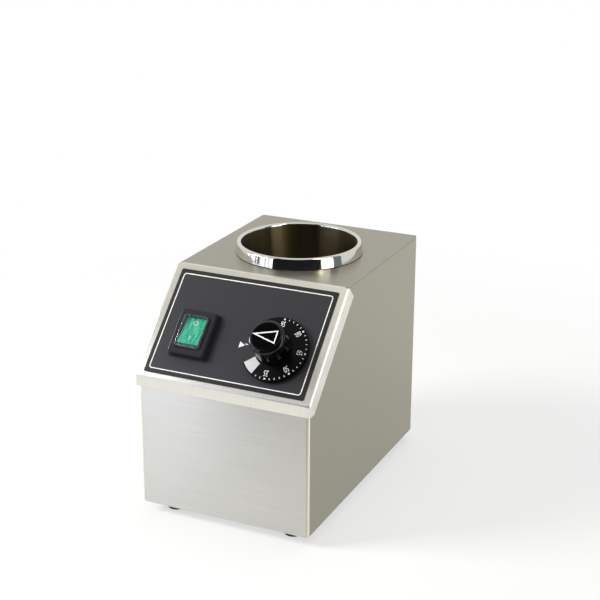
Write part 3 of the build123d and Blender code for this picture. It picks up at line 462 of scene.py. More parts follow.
@dataclass(frozen=True)
class Ceramic(Textured):
    """Pressed steatite, unglazed, with a fine grit."""

    patch_mm: tuple[float, float, float] = (0.6, 0.6, 0.6)
    detail: float = 4.0
    relief_mm: float = 0.03


@dataclass(frozen=True)
class Rubber(Textured):
    """Moulded rubber, matt and faintly dusty."""

    patch_mm: tuple[float, float, float] = (2.5, 2.5, 2.5)
    detail: float = 4.0
    relief_mm: float = 0.03
    relief_share: float = 0.4


@dataclass(frozen=True)
class TintedLens(Finish):
    """Tinted translucent polycarbonate, ribbed inside to spread a lamp's light."""

    other: str = "#3fbf92"
    rib_mm: float = 1.6
    run_mm: float = 14.0
    lit_span: tuple[float, float] = (0.45, 0.8)
    coat: float = 0.15
    coat_roughness: float = 0.08

    def dress(self, tree: bpy.types.NodeTree, shader: bpy.types.Node) -> None:
        """Add the inner ribs, seen through the tint as soft streaks.

        Args:
            tree: The material's node tree.
            shader: Its Principled BSDF.
        """
        ribs = self.noise(tree, (self.rib_mm, self.run_mm, self.run_mm))
        self.vary_colour(tree, shader, ribs, self.other, *self.lit_span)
        shader.inputs["Coat Weight"].default_value = self.coat
        shader.inputs["Coat Roughness"].default_value = self.coat_roughness


@dataclass(frozen=True)
class ClearPlastic(Finish):
    """Clear, slightly hazy plastic, as thin as a blister.

    It is too thin to bend what lies behind it, so light goes straight through, apart
    from what its surface reflects: little straight on, and more when grazed.
    """

    haze_mm: float = 2.0
    gloss_drift: float = 0.03
    head_on: float = 0.05
    graze_power: float = 4.0
    crown: tuple[float, float, float] | None = None
    milk: str = "#6f7678"
    milky: float = 0.55
    wall_span: tuple[float, float] = (0.5, 0.97)

    def dress(self, tree: bpy.types.NodeTree, shader: bpy.types.Node) -> None:
        """Add the haze and make it see-through.

        Args:
            tree: The material's node tree.
            shader: Its Principled BSDF.
        """
        haze = self.noise(tree, (self.haze_mm,) * 3)
        self.vary_roughness(tree, shader, haze, self.gloss_drift)
        grazed = add_node(tree, "LayerWeight", {"Blend": 0.5}).outputs["Facing"]
        steep = add_node(tree, "Math", {0: grazed, 1: self.graze_power}, {"operation": "POWER"})
        share = add_node(tree, "MapRange", {"Value": steep.outputs[0], "To Min": self.head_on})
        clear = add_node(tree, "BsdfTransparent", {"Color": linear(self.colour)})
        parts = {0: share.outputs[0], 1: clear.outputs[0], 2: shader.outputs[0]}
        mixed = add_node(tree, "MixShader", parts)
        shader.inputs["Metallic"].default_value = 1.0
        if self.crown is not None:
            mixed = self.cloud_walls(tree, mixed, self.crown)
        tree.links.new(mixed.outputs[0], tree.nodes["Material Output"].inputs["Surface"])

    def cloud_walls(
        self, tree: bpy.types.NodeTree, clear: bpy.types.Node, crown: tuple[float, float, float]
    ) -> bpy.types.Node:
        """Make the walls milky, where the film is drawn and seen on edge.

        Args:
            tree: The material's node tree.
            clear: The clear film's shader.
            crown: Direction that the film's clear top faces.

        Returns:
            The shader of both.
        """
        facing = add_node(tree, "TexCoord").outputs["Normal"]
        towards = add_node(tree, "VectorMath", {0: facing, 1: crown}, {"operation": "DOT_PRODUCT"})
        either = add_node(tree, "Math", {0: towards.outputs["Value"]}, {"operation": "ABSOLUTE"})
        wall, top = self.wall_span
        span = {
            "Value": either.outputs[0],
            "From Min": wall,
            "From Max": top,
            "To Min": self.milky,
            "To Max": 0.0,
        }
        share = add_node(tree, "MapRange", span)
        milk = add_node(tree, "BsdfDiffuse", {"Color": linear(self.milk)})
        parts = {0: share.outputs[0], 1: clear.outputs[0], 2: milk.outputs[0]}
        return add_node(tree, "MixShader", parts)


# The way that the sloped panel, and the cover over its switch, face.
PANEL_OUT = (0.0, -0.699, 0.715)

# The four satin sheets are one stainless steel in lit and shaded copies, as painted light: the
# fascia and front panel are painted lighter, and the casing's sides and the top plate darker, for
# how the studio light falls on each face.
CASING_STEEL_SHADED = BrushedSteel(
    "satin_casing_shaded",
    "#9d9a89",
    0.38,
    1.0,
    grain=Grain.SIDE,
    other="#a29f8e",
    # Painted highlight: the casing's front edge, ahead of this line, is painted light cream for the
    # light on its bend.
    highlight_y_mm=-110.6,
    edge="#e2dccb",
)
TOP_STEEL_SHADED = BrushedSteel("satin_top_shaded", "#9c998a", 0.32, 1.0, grain=Grain.TOP, other="#a19e8f")
FRONT_STEEL_LIT = BrushedSteel("satin_front_lit", "#d5d4cf", 0.36, 1.0, grain=Grain.FRONT, other="#d0cfc9")
FASCIA_STEEL_LIT = BrushedSteel(
    "satin_fascia_lit", "#ebe9e0", 0.34, 1.0, grain=Grain.SLOPE, other="#e4e2d9", stretch=0.9
)
MIRROR_STEEL = PolishedSteel("mirror_steel", "#cfccc3", 0.08, 1.0, stretch=0.3)
# Painted shade, in part: the lining's dark brown is partly heat tint and partly the gloom deep in
# the well, painted into its colour.
LINING_STEEL = PolishedSteel("turned_steel", "#6a5e46", 0.34, 1.0, stretch=0.985)
ZINC_PLATE = PlatedMetal("zinc_plate", "#b4b4b8", 0.35)
GALVANISED = PlatedMetal(
    "galvanised_sheet", "#a9adb0", 0.42, other="#8d9194", patch_mm=(9.0, 9.0, 9.0)
)
HEATER_SHEET = PlatedMetal(
    "heater_sheet", "#8f8a80", 0.45, other="#77705f", patch_mm=(12.0, 12.0, 12.0)
)
BRASS = PlatedMetal("nickelled_brass", "#c9ac6c", 0.28, other="#b3965a")
COPPER = PlatedMetal("copper_tube", "#b87a55", 0.30, other="#9c6243")
SPRING_WIRE = PlatedMetal("spring_wire", "#98989c", 0.30)
KNOB_PLASTIC = MouldedPlastic("phenolic_gloss", "#060607", 0.07, ior=1.36, other="#0a0a0b")
SKIRT_PLASTIC = MouldedPlastic("phenolic_satin", "#08080a", 0.24, ior=1.2, other="#0b0b0d")
BLACK_NYLON = MouldedPlastic("black_nylon", "#131315", 0.36, ior=1.5, other="#1a1a1d")
FRAME_NYLON = MouldedPlastic("frame_nylon", "#242428", 0.5, ior=1.2, other="#2e2e33")
CONNECTOR_NYLON = MouldedPlastic("natural_nylon", "#c9c4b4", 0.45, ior=1.5, other="#bdb7a6")
SILICONE_LEAD = MouldedPlastic("silicone_lead", "#5b3726", 0.5, ior=1.45, other="#4d2d1f")
SILICONE_RING = Rubber("silicone_ring", "#26231f", 0.6, ior=1.45, other="#1e1b18")
FOOT_RUBBER = Rubber("foot_rubber", "#161615", 0.75, ior=1.5, other="#2b2a28")
PANEL_EDGE = PrintedFilm("panel_edge", "#1c1c1a", 0.40, ior=1.5, other="#181816")
PANEL_FIELD = PrintedFilm("panel_field", "#2b2b2f", 0.38, ior=1.5, other="#242427")
WHITE_INK = Ink("white_ink", "#efefed", 0.45, ior=1.5, other="#dcdcda")
SECTOR_INK = Ink("sector_ink", "#c6c6c9", 0.5, ior=1.4, other="#b9b9bc")
FIBRE_FELT = Felt("fibre_felt", "#e3dcc9", 0.9, ior=1.45, other="#cfc8b4")
STEATITE = Ceramic("steatite", "#e6e0d2", 0.55, ior=1.5, other="#d6d0c2")
GREEN_LENS = TintedLens("tinted_lens", "#00ac8c", 0.18, ior=1.5, other="#5fe6c8")
CLEAR_COVER = ClearPlastic("clear_blister", "#f4f6f4", 0.2, ior=1.45, crown=PANEL_OUT)
LAMP_GLASS = ClearPlastic("lamp_envelope", "#f3e3d8", 0.05, ior=1.5)


# --------------------------------------------------------------------- mesh building
class Form:
    """A mesh under construction, in a frame of its own."""

    def __init__(self) -> None:
        """Start with nothing."""
        self.bm = bmesh.new()

    def add(self, other: "Form", place: Matrix | None = None) -> "Form":
        """Take in another form and free it.

        Args:
            other: The other form.
            place: Where it goes, if it has to move.

        Returns:
            The form itself.
        """
        if place is not None:
            other.place(place)
        mesh = bpy.data.meshes.new("part")
        other.bm.to_mesh(mesh)
        other.bm.free()
        self.bm.from_mesh(mesh)
        bpy.data.meshes.remove(mesh)
        return self

    def place(self, matrix: Matrix) -> "Form":
        """Move the whole form by a matrix."""
        bmesh.ops.transform(self.bm, matrix=matrix, verts=self.bm.verts)
        return self

    def spin(
        self,
        profile_mm: list[tuple[float, float]],
        start_deg: float = 0.0,
        sweep_deg: float = 360.0,
        steps: int = 128,
        closed: bool = False,
    ) -> "Form":
        """Turn a profile about Z.

        Args:
            profile_mm: Its (radius, height) points, in order.
            start_deg: Angle that it starts from.
            sweep_deg: Angle that it turns through.
            steps: Segments of the turn.
            closed: Whether the profile is a closed loop whose ends get caps.

        Returns:
            The form itself.
        """
        turn = Matrix.Rotation(math.radians(start_deg), 4, "Z")
        verts = [self.bm.verts.new(turn @ Vector((r * MM, 0, z * MM))) for r, z in profile_mm]
        follow = verts[1:] + verts[:1] if closed else verts[1:]
        edges = [self.bm.edges.new(pair) for pair in zip(verts, follow)]
        full = abs(sweep_deg - 360) < NEAR
        geom = verts + edges
        caps = [self.bm.faces.new(verts)] if closed and not full else []
        bmesh.ops.spin(
            self.bm,
            geom=geom + caps,
            cent=(0, 0, 0),
            axis=(0, 0, 1),
            dvec=(0, 0, 0),
            angle=math.radians(sweep_deg),
            steps=steps,
            use_merge=full,
        )
        self.clean()
        return self

    def clean(self) -> "Form":
        """Merge doubles and turn the faces outwards."""
        bmesh.ops.remove_doubles(self.bm, verts=self.bm.verts, dist=NEAR)
        bmesh.ops.recalc_face_normals(self.bm, faces=self.bm.faces)
        return self

    def slab(
        self,
        width_mm: float,
        length_mm: float,
        low_mm: float,
        high_mm: float,
        corner_mm: float = 0.0,
    ) -> "Form":
        """Add a rounded rectangular slab about Z.

        Args:
            width_mm: Its size along X.
            length_mm: Its size along Y.
            low_mm: Height of its underside.
            high_mm: Height of its top.
            corner_mm: Radius of its corners, seen from above.

        Returns:
            The form itself.
        """
        size = Matrix.Diagonal((width_mm * MM, length_mm * MM, (high_mm - low_mm) * MM, 1))
        lift = Matrix.Translation((0, 0, (low_mm + high_mm) / 2 * MM))
        made = bmesh.ops.create_cube(self.bm, size=1.0, matrix=lift @ size)
        edges = {e for v in made["verts"] for e in v.link_edges}
        if corner_mm:
            upright = [e for e in edges if abs((e.verts[0].co - e.verts[1].co).z) > NEAR]
            self.bevel(upright, corner_mm, CORNER_STEPS)
        return self

    def bevel(self, edges: list[bmesh.types.BMEdge], radius_mm: float, segments: int) -> "Form":
        """Round some edges.

        Args:
            edges: The edges.
            radius_mm: Radius of the round.
            segments: Its segments.

        Returns:
            The form itself.
        """
        bmesh.ops.bevel(
            self.bm,
            geom=list(edges),
            offset=radius_mm * MM,
            offset_type="OFFSET",
            segments=segments,
            profile=0.5,
            affect="EDGES",
            material=-1,
        )
        return self

    def bevel_ring(
        self, radius_mm: float, height_mm: float, round_mm: float, segments: int
    ) -> "Form":
        """Round the ring of edges at a radius and a height.

        Args:
            radius_mm: The ring's radius.
            height_mm: Its height.
            round_mm: Radius of the round.
            segments: Segments of the round.

        Returns:
            The form itself.
        """

        def on_ring(vert: bmesh.types.BMVert) -> bool:
            """Tell whether a point lies on the ring."""
            near_r = abs(vert.co.xy.length - radius_mm * MM) < NEAR
            return near_r and abs(vert.co.z - height_mm * MM) < NEAR

        ring = [e for e in self.bm.edges if all(on_ring(v) for v in e.verts)]
        return self.bevel(ring, round_mm, segments)

    def frame_line(
        self, width_mm: float, length_mm: float, corner_mm: float, line_mm: float, thick_mm: float
    ) -> "Form":
        """Add a flat rounded-rectangle line about Z, on the plane Z = 0.

        Args:
            width_mm: Its outer size along X.
            length_mm: Its outer size along Y.
            corner_mm: Radius of its outer corners.
            line_mm: Width of the line.
            thick_mm: Thickness of the ink.

        Returns:
            The form itself.
        """
        size = Matrix.Diagonal((width_mm * MM / 2, length_mm * MM / 2, 1, 1))
        made = bmesh.ops.create_grid(self.bm, x_segments=1, y_segments=1, size=1.0, matrix=size)
        bmesh.ops.bevel(
            self.bm,
            geom=made["verts"],
            offset=corner_mm * MM,
            offset_type="OFFSET",
            segments=CORNER_STEPS,
            profile=0.5,
            affect="VERTICES",
            material=-1,
        )
        return self.outline(line_mm, thick_mm)

    def outline(self, line_mm: float, thick_mm: float) -> "Form":
        """Turn every flat face into a raised line along its edge.

        Args:
            line_mm: Width of the line.
            thick_mm: Its thickness.

        Returns:
            The form itself.
        """
        inner = list(self.bm.faces)
        bmesh.ops.inset_region(
            self.bm, faces=inner, thickness=line_mm * MM, use_boundary=True, use_even_offset=True
        )
        bmesh.ops.delete(self.bm, geom=inner, context="FACES")
        return self.thicken(thick_mm)

    def thicken(self, thick_mm: float) -> "Form":
        """Give flat faces a thickness, upwards.

        Args:
            thick_mm: The thickness.

        Returns:
            The form itself.
        """
        bmesh.ops.recalc_face_normals(self.bm, faces=self.bm.faces)
        down = [f for f in self.bm.faces if f.normal.z < 0]
        bmesh.ops.reverse_faces(self.bm, faces=down)
        bmesh.ops.solidify(self.bm, geom=list(self.bm.faces), thickness=-thick_mm * MM)
        return self.clean()

    def to_object(self, name: str, finish: Finish, slot: str, body: str) -> bpy.types.Object:
        """Make the object, smooth it and set it on its body.

        Args:
            name: The piece's name.
            finish: Its finish.
            slot: The record's material slot that the finish belongs to; not used.
            body: The CAD body that it rides on.

        Returns:
            The object.
        """
        mesh = bpy.data.meshes.new(name)
        self.bm.to_mesh(mesh)
        self.bm.free()
        mesh.shade_smooth()
        mesh.set_sharp_from_angle(angle=SMOOTH_LIMIT)
        mesh.materials.append(finish.material())
        piece = bpy.data.objects.new(name, mesh)
        bpy.context.scene.collection.objects.link(piece)
        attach(piece, body)
        LOG.info("%s: %d faces, on %s", name, len(mesh.polygons), body)
        return piece

    def to_stage(self, name: str, material: bpy.types.Material) -> bpy.types.Object:
        """Make an object of the studio, which is no part of the warmer.

        Args:
            name: The object's name.
            material: Its material.

        Returns:
            The object.
        """
        mesh = bpy.data.meshes.new(name)
        self.bm.to_mesh(mesh)
        self.bm.free()
        mesh.materials.append(material)
        piece = bpy.data.objects.new(name, mesh)
        bpy.context.scene.collection.objects.link(piece)
        return piece


def lettering(text: str, height_mm: float, thick_mm: float) -> Form:
    """Make flat characters about the origin, on the plane Z = 0.

    Args:
        text: The characters.
        height_mm: Height of a capital or digit.
        thick_mm: Thickness of the ink.

    Returns:
        The form.
    """
    capital_share = 0.69
    curve = bpy.data.curves.new("characters", "FONT")
    curve.body = text
    curve.size = height_mm * MM / capital_share
    curve.align_x = "CENTER"
    curve.align_y = "CENTER"
    curve.extrude = thick_mm * MM / 2
    holder = bpy.data.objects.new("characters", curve)
    bpy.context.scene.collection.objects.link(holder)
    bpy.context.view_layer.update()
    graph = bpy.context.evaluated_depsgraph_get()
    mesh = bpy.data.meshes.new_from_object(holder.evaluated_get(graph))
    form = Form()
    form.bm.from_mesh(mesh)
    form.clean()
    bpy.data.objects.remove(holder)
    bpy.data.meshes.remove(mesh)
    return form


def dress_nodes(nodes: dict[Finish, str]) -> None:
    """Give CAD nodes their finishes.

    Args:
        nodes: Finish to the names of its nodes, with spaces between them.
    """
    for finish, names in nodes.items():
        for name in names.split():
            for slot in FRAME["nodes"][name].material_slots:
                slot.material = finish.material()
            LOG.info("%s: %s", name, finish.name)


def joint(name: str) -> dict[str, Any]:
    """Return a joint of the frame by its name."""
    return next(j for j in FRAME["joints"] if j["name"] == name)


def panel_axes() -> Matrix:
    """Return the panel's turn: X to the right, Y up the slope, Z out of it."""
    out = -Vector(joint("dial_turn")["axis"]).normalized()
    right = Vector((1, 0, 0))
    return Matrix((right, out.cross(right), out)).transposed().to_4x4()


def turned(angle_deg: float, axis: str) -> Matrix:
    """Return a turn about one axis."""
    return Matrix.Rotation(math.radians(angle_deg), 4, axis)


def moved_mm(x: float, y: float, z: float) -> Matrix:
    """Return a move in millimetres."""
    return Matrix.Translation((x * MM, y * MM, z * MM))


# ------------------------------------------------------------------------------ body
@dataclass
class Body:
    """Folded sheets, feet and the fasteners that show under the base."""

    nodes: dict[Finish, str] = field(
        default_factory=lambda: {
            CASING_STEEL_SHADED: "casing_wrap",
            TOP_STEEL_SHADED: "top_plate",
            FRONT_STEEL_LIT: "front_panel",
            FASCIA_STEEL_LIT: "fascia",
            GALVANISED: "base_plate",
            FOOT_RUBBER: "feet",
            ZINC_PLATE: (
                "foot_screws foot_nuts base_screws clinch_nuts stud_nuts inlet_screws "
                "inlet_nuts"
            ),
            BLACK_NYLON: "mains_inlet",
            BRASS: "inlet_pins",
        }
    )

    def build(self) -> None:
        """Dress the body's nodes."""
        dress_nodes(self.nodes)


@dataclass
class Well:
    """Drawn cup with a rolled collar, its gasket, and all that hangs on it."""

    wall_mm: float = 0.8
    roll_mm: float = 1.85
    floor_radius_mm: float = 8.0
    hem_mm: float = 0.4
    stud_mm: float = 3.0
    stud_length_mm: float = 14.0
    steps: int = 192
    nodes: dict[Finish, str] = field(
        default_factory=lambda: {
            SILICONE_RING: "well_gasket",
            FIBRE_FELT: "well_pad insulation_sleeve",
            GALVANISED: "well_bracket sleeve_straps cutout_bracket",
            ZINC_PLATE: (
                "well_nut bracket_screws bracket_nuts clamp_screws clamp_nuts "
                "thermal_cutout cutout_screws"
            ),
            HEATER_SHEET: "heater_band",
            STEATITE: "heater_posts",
            COPPER: "thermostat_bulb",
            SPRING_WIRE: "bulb_clips",
        }
    )

    def build(self) -> None:
        """Dress the well's nodes and spin its cup."""
        dress_nodes(self.nodes)
        mount = next(m for m in FRAME["record"]["mounts"] if m["name"] == "well")
        place = Matrix.Translation((mount["pos_m"][0], mount["pos_m"][1], 0))
        inside = mount["dims"]["r_mm"]
        low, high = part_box("well_cup")
        roll = high.z / MM - self.roll_mm
        self.collar(place, inside, roll, (high.x - low.x) / 2 / MM)
        self.lining(place, inside, roll, low.z / MM + self.stud_length_mm)

    def collar(self, place: Matrix, inside: float, roll: float, foot: float) -> None:
        """Spin the collar: the roll at the mouth and the wall that flares from it.

        Args:
            place: The well's axis.
            inside: Radius of the mouth, in millimetres.
            roll: Height of the roll's middle.
            foot: Radius of the collar's foot.
        """
        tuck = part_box("top_plate")[1].z / MM + self.hem_mm
        middle = inside + self.roll_mm
        profile = self.arc(middle, roll, self.roll_mm, 180, 0)
        profile += [(foot, tuck), (foot - self.wall_mm, tuck)]
        profile += self.arc(middle, roll, self.roll_mm - self.wall_mm, 0, 180)
        self.piece("well_collar", profile, MIRROR_STEEL, place, closed=True)

    def lining(self, place: Matrix, inside: float, roll: float, under: float) -> None:
        """Spin the cup's wall, its rounded floor and the stud under it.

        Args:
            place: The well's axis.
            inside: Inner radius of the cup, in millimetres.
            roll: Height that its wall ends at.
            under: Height of its floor's underside.
        """
        floor = under + self.wall_mm
        bend_at = (inside - self.floor_radius_mm, floor + self.floor_radius_mm)
        profile = [(0, floor), *self.arc(*bend_at, self.floor_radius_mm, 270, 360)]
        profile += [(inside, roll), (inside + self.wall_mm, roll)]
        profile += self.arc(*bend_at, self.floor_radius_mm + self.wall_mm, 360, 270)
        profile += [(self.stud_mm, under), (self.stud_mm, under - self.stud_length_mm)]
        profile += [(0, under - self.stud_length_mm)]
        self.piece("well_lining", profile, LINING_STEEL, place, closed=False)

    def piece(
        self,
        name: str,
        profile: list[tuple[float, float]],
        finish: Finish,
        place: Matrix,
        closed: bool,
    ) -> None:
        """Spin one part of the cup and let it stand for the CAD cup.

        Args:
            name: The part's name.
            profile: Its (radius, height) points, in millimetres.
            finish: Its finish.
            place: The well's axis.
            closed: Whether the profile is a closed loop.
        """
        form = Form().spin(profile, steps=self.steps, closed=closed)
        made = form.place(place).to_object(name, finish, "polished_steel", "housing")
        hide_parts("well_cup")

    @staticmethod
    def arc(
        radius_at: float, height_at: float, radius: float, start: float, end: float
    ) -> list[tuple[float, float]]:
        """Return points of an arc in a profile's plane, ends included.

        Args:
            radius_at: Its centre's distance from the axis.
            height_at: Its centre's height.
            radius: Its radius.
            start: Angle that it starts at, in degrees.
            end: Angle that it ends at.

        Returns:
            The (radius, height) points.
        """
        count = 10
        angles = [math.radians(start + (end - start) * k / count) for k in range(count + 1)]
        return [
            (radius_at + radius * math.cos(a), height_at + radius * math.sin(a)) for a in angles
        ]


@dataclass
class Panel:
    """Printed overlay of the sloped control panel."""

    dial_x_mm: float = 35.0
    dial_down_mm: float = 62.5
    film_mm: float = 0.3
    line_width_mm: float = 133.7
    line_length_mm: float = 86.9
    line_x_mm: float = -0.25
    line_down_mm: float = 51.85
    line_mm: float = 0.8
    corner_mm: float = 2.6
    ink_mm: float = 0.04
    arrow_x_mm: float = 4.2
    arrow_down_mm: float = 62.4
    arrow_size_mm: float = 4.8
    dash_x_mm: float = 8.7
    dash_down_mm: float = 61.2
    dash_mm: tuple[float, float] = (2.8, 0.7)

    def plane(self) -> Matrix:
        """Return the panel's plane: X to the right, Y up the slope, Z out of it."""
        centre = Matrix.Translation(Vector(joint("dial_turn")["pos_m"])) @ panel_axes()
        return centre @ moved_mm(-self.dial_x_mm, self.dial_down_mm, 0)

    def build(self) -> None:
        """Dress the overlay and print it."""
        dress_nodes({PANEL_EDGE: "label_overlay"})
        top = self.plane() @ moved_mm(0, 0, self.film_mm)
        at_line = top @ moved_mm(self.line_x_mm, -self.line_down_mm, 0)
        self.ground(at_line)
        self.border(at_line)
        self.marker(top)

    def ground(self, place: Matrix) -> None:
        """Print the lighter ground inside the border.

        Args:
            place: The border's middle, on the film.
        """
        inset = self.line_mm
        form = Form().slab(
            self.line_width_mm - inset,
            self.line_length_mm - inset,
            0.0,
            self.ink_mm / 2,
            self.corner_mm - inset / 2,
        )
        form.place(place)
        form.to_object("panel_ground", PANEL_FIELD, "label_film", "housing")

    def border(self, place: Matrix) -> None:
        """Print the white line.

        Args:
            place: Its middle, on the film.
        """
        form = Form().frame_line(
            self.line_width_mm, self.line_length_mm, self.corner_mm, self.line_mm, self.ink_mm
        )
        form.place(place)
        form.to_object("panel_border", WHITE_INK, "label_film", "housing")

    def marker(self, top: Matrix) -> None:
        """Print the fixed arrow and its dash beside the dial.

        Args:
            top: The film's plane.
        """
        form = Form()
        radius = self.arrow_size_mm * MM / TRIANGLE_HEIGHT
        bmesh.ops.create_circle(form.bm, cap_ends=True, segments=3, radius=radius)
        form.place(turned(-90, "Z"))
        form.thicken(self.ink_mm)
        form.place(top @ moved_mm(self.arrow_x_mm, -self.arrow_down_mm, 0))
        dash = Form().slab(*self.dash_mm, 0, self.ink_mm)
        form.add(dash, top @ moved_mm(self.dash_x_mm, -self.dash_down_mm, 0))
        form.to_object("panel_marker", WHITE_INK, "label_film", "housing")


@dataclass
class Dial:
    """Moulded knob on a wide cut-out skirt, with its printed scale."""

    panel: Panel
    grip_mm: float = 15.0
    grip_top_mm: float = 14.6
    height_mm: float = 26.5
    round_mm: float = 3.0
    skirt_mm: float = 27.5
    skirt_low_mm: float = 1.3
    skirt_edge_mm: float = 4.2
    crown_mm: float = 5.6
    under_mm: float = 2.6
    rim_wall_mm: float = 1.6
    hub_mm: float = 7.0
    bore_mm: float = 3.05
    bore_top_mm: float = 15.3
    cut_deg: float = 72.0
    ink_mm: float = 0.05
    step_deg: float = 9.0
    first_deg: float = -108.0
    last_deg: float = 90.0
    tick_mm: tuple[float, float] = (1.3, 0.55)
    tick_at_mm: float = 25.8
    dot_mm: float = 0.75
    number_mm: float = 4.8
    number_narrow: float = 0.6
    number_at_mm: float = 21.2
    sector_deg: tuple[float, float] = (-144.0, -117.0)
    sector_mm: tuple[float, float] = (16.2, 26.3)
    pointer_mm: tuple[float, float] = (20.9, 11.4)
    pointer_line_mm: float = 1.0
    pointer_at_mm: tuple[float, float] = (-1.7, 0.7)
    grip_steps: int = 144
    skirt_steps: int = 115
    round_steps: int = 10
    dot_steps: int = 20
    sector_steps: int = 12
    numbers: dict[float, str] = field(
        default_factory=lambda: {-90.0: "35", -45.0: "50", 0.0: "65", 45.0: "80", 90.0: "95"}
    )

    def place(self) -> Matrix:
        """Return the dial's frame: Z along its axis, from the panel's face."""
        return self.panel.plane() @ moved_mm(self.panel.dial_x_mm, -self.panel.dial_down_mm, 0)

    def build(self) -> None:
        """Build the knob and print its scale."""
        dress_nodes({ZINC_PLATE: "thermostat_spindle dial_screws"})
        self.knob()
        self.scale()
        self.sector()
        self.pointer()

    def knob(self) -> None:
        """Spin the grip and the skirt, which is left open at the pointer."""
        grip = [
            (0, self.bore_top_mm),
            (self.bore_mm, self.bore_top_mm),
            (self.bore_mm, self.skirt_low_mm),
            (self.hub_mm, self.skirt_low_mm),
            (self.hub_mm, self.under_mm),
            (self.grip_mm, self.under_mm),
            (self.grip_mm, self.crown_mm),
            (self.grip_top_mm, self.height_mm),
            (0, self.height_mm),
        ]
        form = Form().spin(grip, steps=self.grip_steps)
        form.bevel_ring(self.grip_top_mm, self.height_mm, self.round_mm, self.round_steps)
        skirt = [
            (self.grip_mm, self.under_mm),
            (self.skirt_mm - self.rim_wall_mm, self.under_mm),
            (self.skirt_mm - self.rim_wall_mm, self.skirt_low_mm),
            (self.skirt_mm, self.skirt_low_mm),
            (self.skirt_mm, self.skirt_edge_mm),
            (self.grip_mm, self.crown_mm),
        ]
        start = self.cut_deg / 2 - 180
        wing = Form().spin(skirt, start, 360 - self.cut_deg, self.skirt_steps, closed=True)
        for name, made, finish in (
            ("dial_grip", form, KNOB_PLASTIC),
            ("dial_skirt", wing, SKIRT_PLASTIC),
        ):
            piece = made.place(self.place()).to_object(name, finish, "knob_plastic", "dial")
            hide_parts("dial_knob")

    def on_skirt(self, angle_deg: float, radius_mm: float) -> Matrix:
        """Return a place on the skirt's cone: X outwards, Z out of its surface.

        Args:
            angle_deg: Its angle round the dial.
            radius_mm: Its distance from the dial's axis.

        Returns:
            The place.
        """
        fall = self.crown_mm - self.skirt_edge_mm
        share = (radius_mm - self.grip_mm) / (self.skirt_mm - self.grip_mm)
        lean = math.degrees(math.atan2(fall, self.skirt_mm - self.grip_mm))
        height = self.crown_mm - fall * share
        outwards = turned(angle_deg, "Z") @ moved_mm(radius_mm, 0, height)
        return self.place() @ outwards @ turned(lean, "Y")

    def scale(self) -> None:
        """Print the ticks, the dots and the numbers."""
        marks = Form()
        count = round((self.last_deg - self.first_deg) / self.step_deg)
        for k in range(count + 1):
            angle = self.first_deg + k * self.step_deg
            at = self.on_skirt(angle, self.tick_at_mm)
            if angle in self.numbers:
                dot = Form()
                size = {"segments": self.dot_steps, "radius": self.dot_mm * MM}
                bmesh.ops.create_circle(dot.bm, cap_ends=True, **size)
                marks.add(dot.thicken(self.ink_mm), at)
            else:
                marks.add(Form().slab(*self.tick_mm, 0, self.ink_mm), at)
        marks.to_object("dial_ticks", WHITE_INK, "knob_plastic", "dial")
        digits = Form()
        for angle, text in self.numbers.items():
            at = self.on_skirt(angle, self.number_at_mm) @ turned(-90, "Z")
            narrow = Matrix.Diagonal((self.number_narrow, 1, 1, 1))
            digits.add(lettering(text, self.number_mm, self.ink_mm), at @ narrow)
        digits.to_object("dial_numbers", WHITE_INK, "knob_plastic", "dial")

    def sector(self) -> None:
        """Print the white block at the skirt's lower end."""
        form = Form()
        start, end = self.sector_deg
        fall = (self.crown_mm - self.skirt_edge_mm) / (self.skirt_mm - self.grip_mm)
        inner, outer = self.sector_mm
        low, high = (self.crown_mm - fall * (r - self.grip_mm) for r in (outer, inner))
        profile = [
            (inner, high - self.ink_mm),
            (outer, low - self.ink_mm),
            (outer, low + self.ink_mm),
            (inner, high + self.ink_mm),
        ]
        form.spin(profile, start, end - start, self.sector_steps, closed=True)
        form.place(self.place())
        form.to_object("dial_sector", SECTOR_INK, "knob_plastic", "dial")

    def pointer(self) -> None:
        """Print the outlined triangle on the grip's top."""
        form = Form()
        length, base = self.pointer_mm
        bmesh.ops.create_circle(form.bm, cap_ends=True, segments=3, radius=1.0)
        # The ring's first point, the tip, is on +Y. A sixth of the length centres it.
        fit = (base * MM / TRIANGLE_SIDE, length * MM / TRIANGLE_HEIGHT, 1, 1)
        form.place(moved_mm(length / 6, 0, 0) @ turned(90, "Z") @ Matrix.Diagonal(fit))
        form.outline(self.pointer_line_mm, self.ink_mm)
        form.place(self.place() @ moved_mm(*self.pointer_at_mm, self.height_mm))
        form.to_object("dial_pointer", WHITE_INK, "knob_plastic", "dial")


@dataclass
class Switch:
    """Illuminated rocker under its splash cover, in a stepped frame."""

    lift_mm: float = 8.2
    mark_mm: float = 4.3
    mark_at_mm: float = 7.1
    ink_mm: float = 0.04
    tilt_deg: float = 8.0
    nodes: dict[Finish, str] = field(
        default_factory=lambda: {
            FRAME_NYLON: "switch_frame",
            BLACK_NYLON: "switch_body switch_plunger",
            CLEAR_COVER: "switch_cover",
            GREEN_LENS: "switch_rocker",
            SPRING_WIRE: "switch_spring",
            BRASS: "switch_contact switch_tabs",
            LAMP_GLASS: "switch_lamp",
        }
    )

    def build(self) -> None:
        """Dress the switch and mark its rocker."""
        dress_nodes(self.nodes)
        pivot = Matrix.Translation(Vector(joint("rocker_tip")["pos_m"]))
        place = pivot @ panel_axes() @ turned(-self.tilt_deg, "X")
        marks = Form()
        for text, side in (("O", 1), ("I", -1)):
            at = place @ moved_mm(0, side * self.mark_at_mm, self.lift_mm)
            marks.add(lettering(text, self.mark_mm, self.ink_mm), at)
        marks.to_object("rocker_marks", WHITE_INK, "green_lens", "rocker")


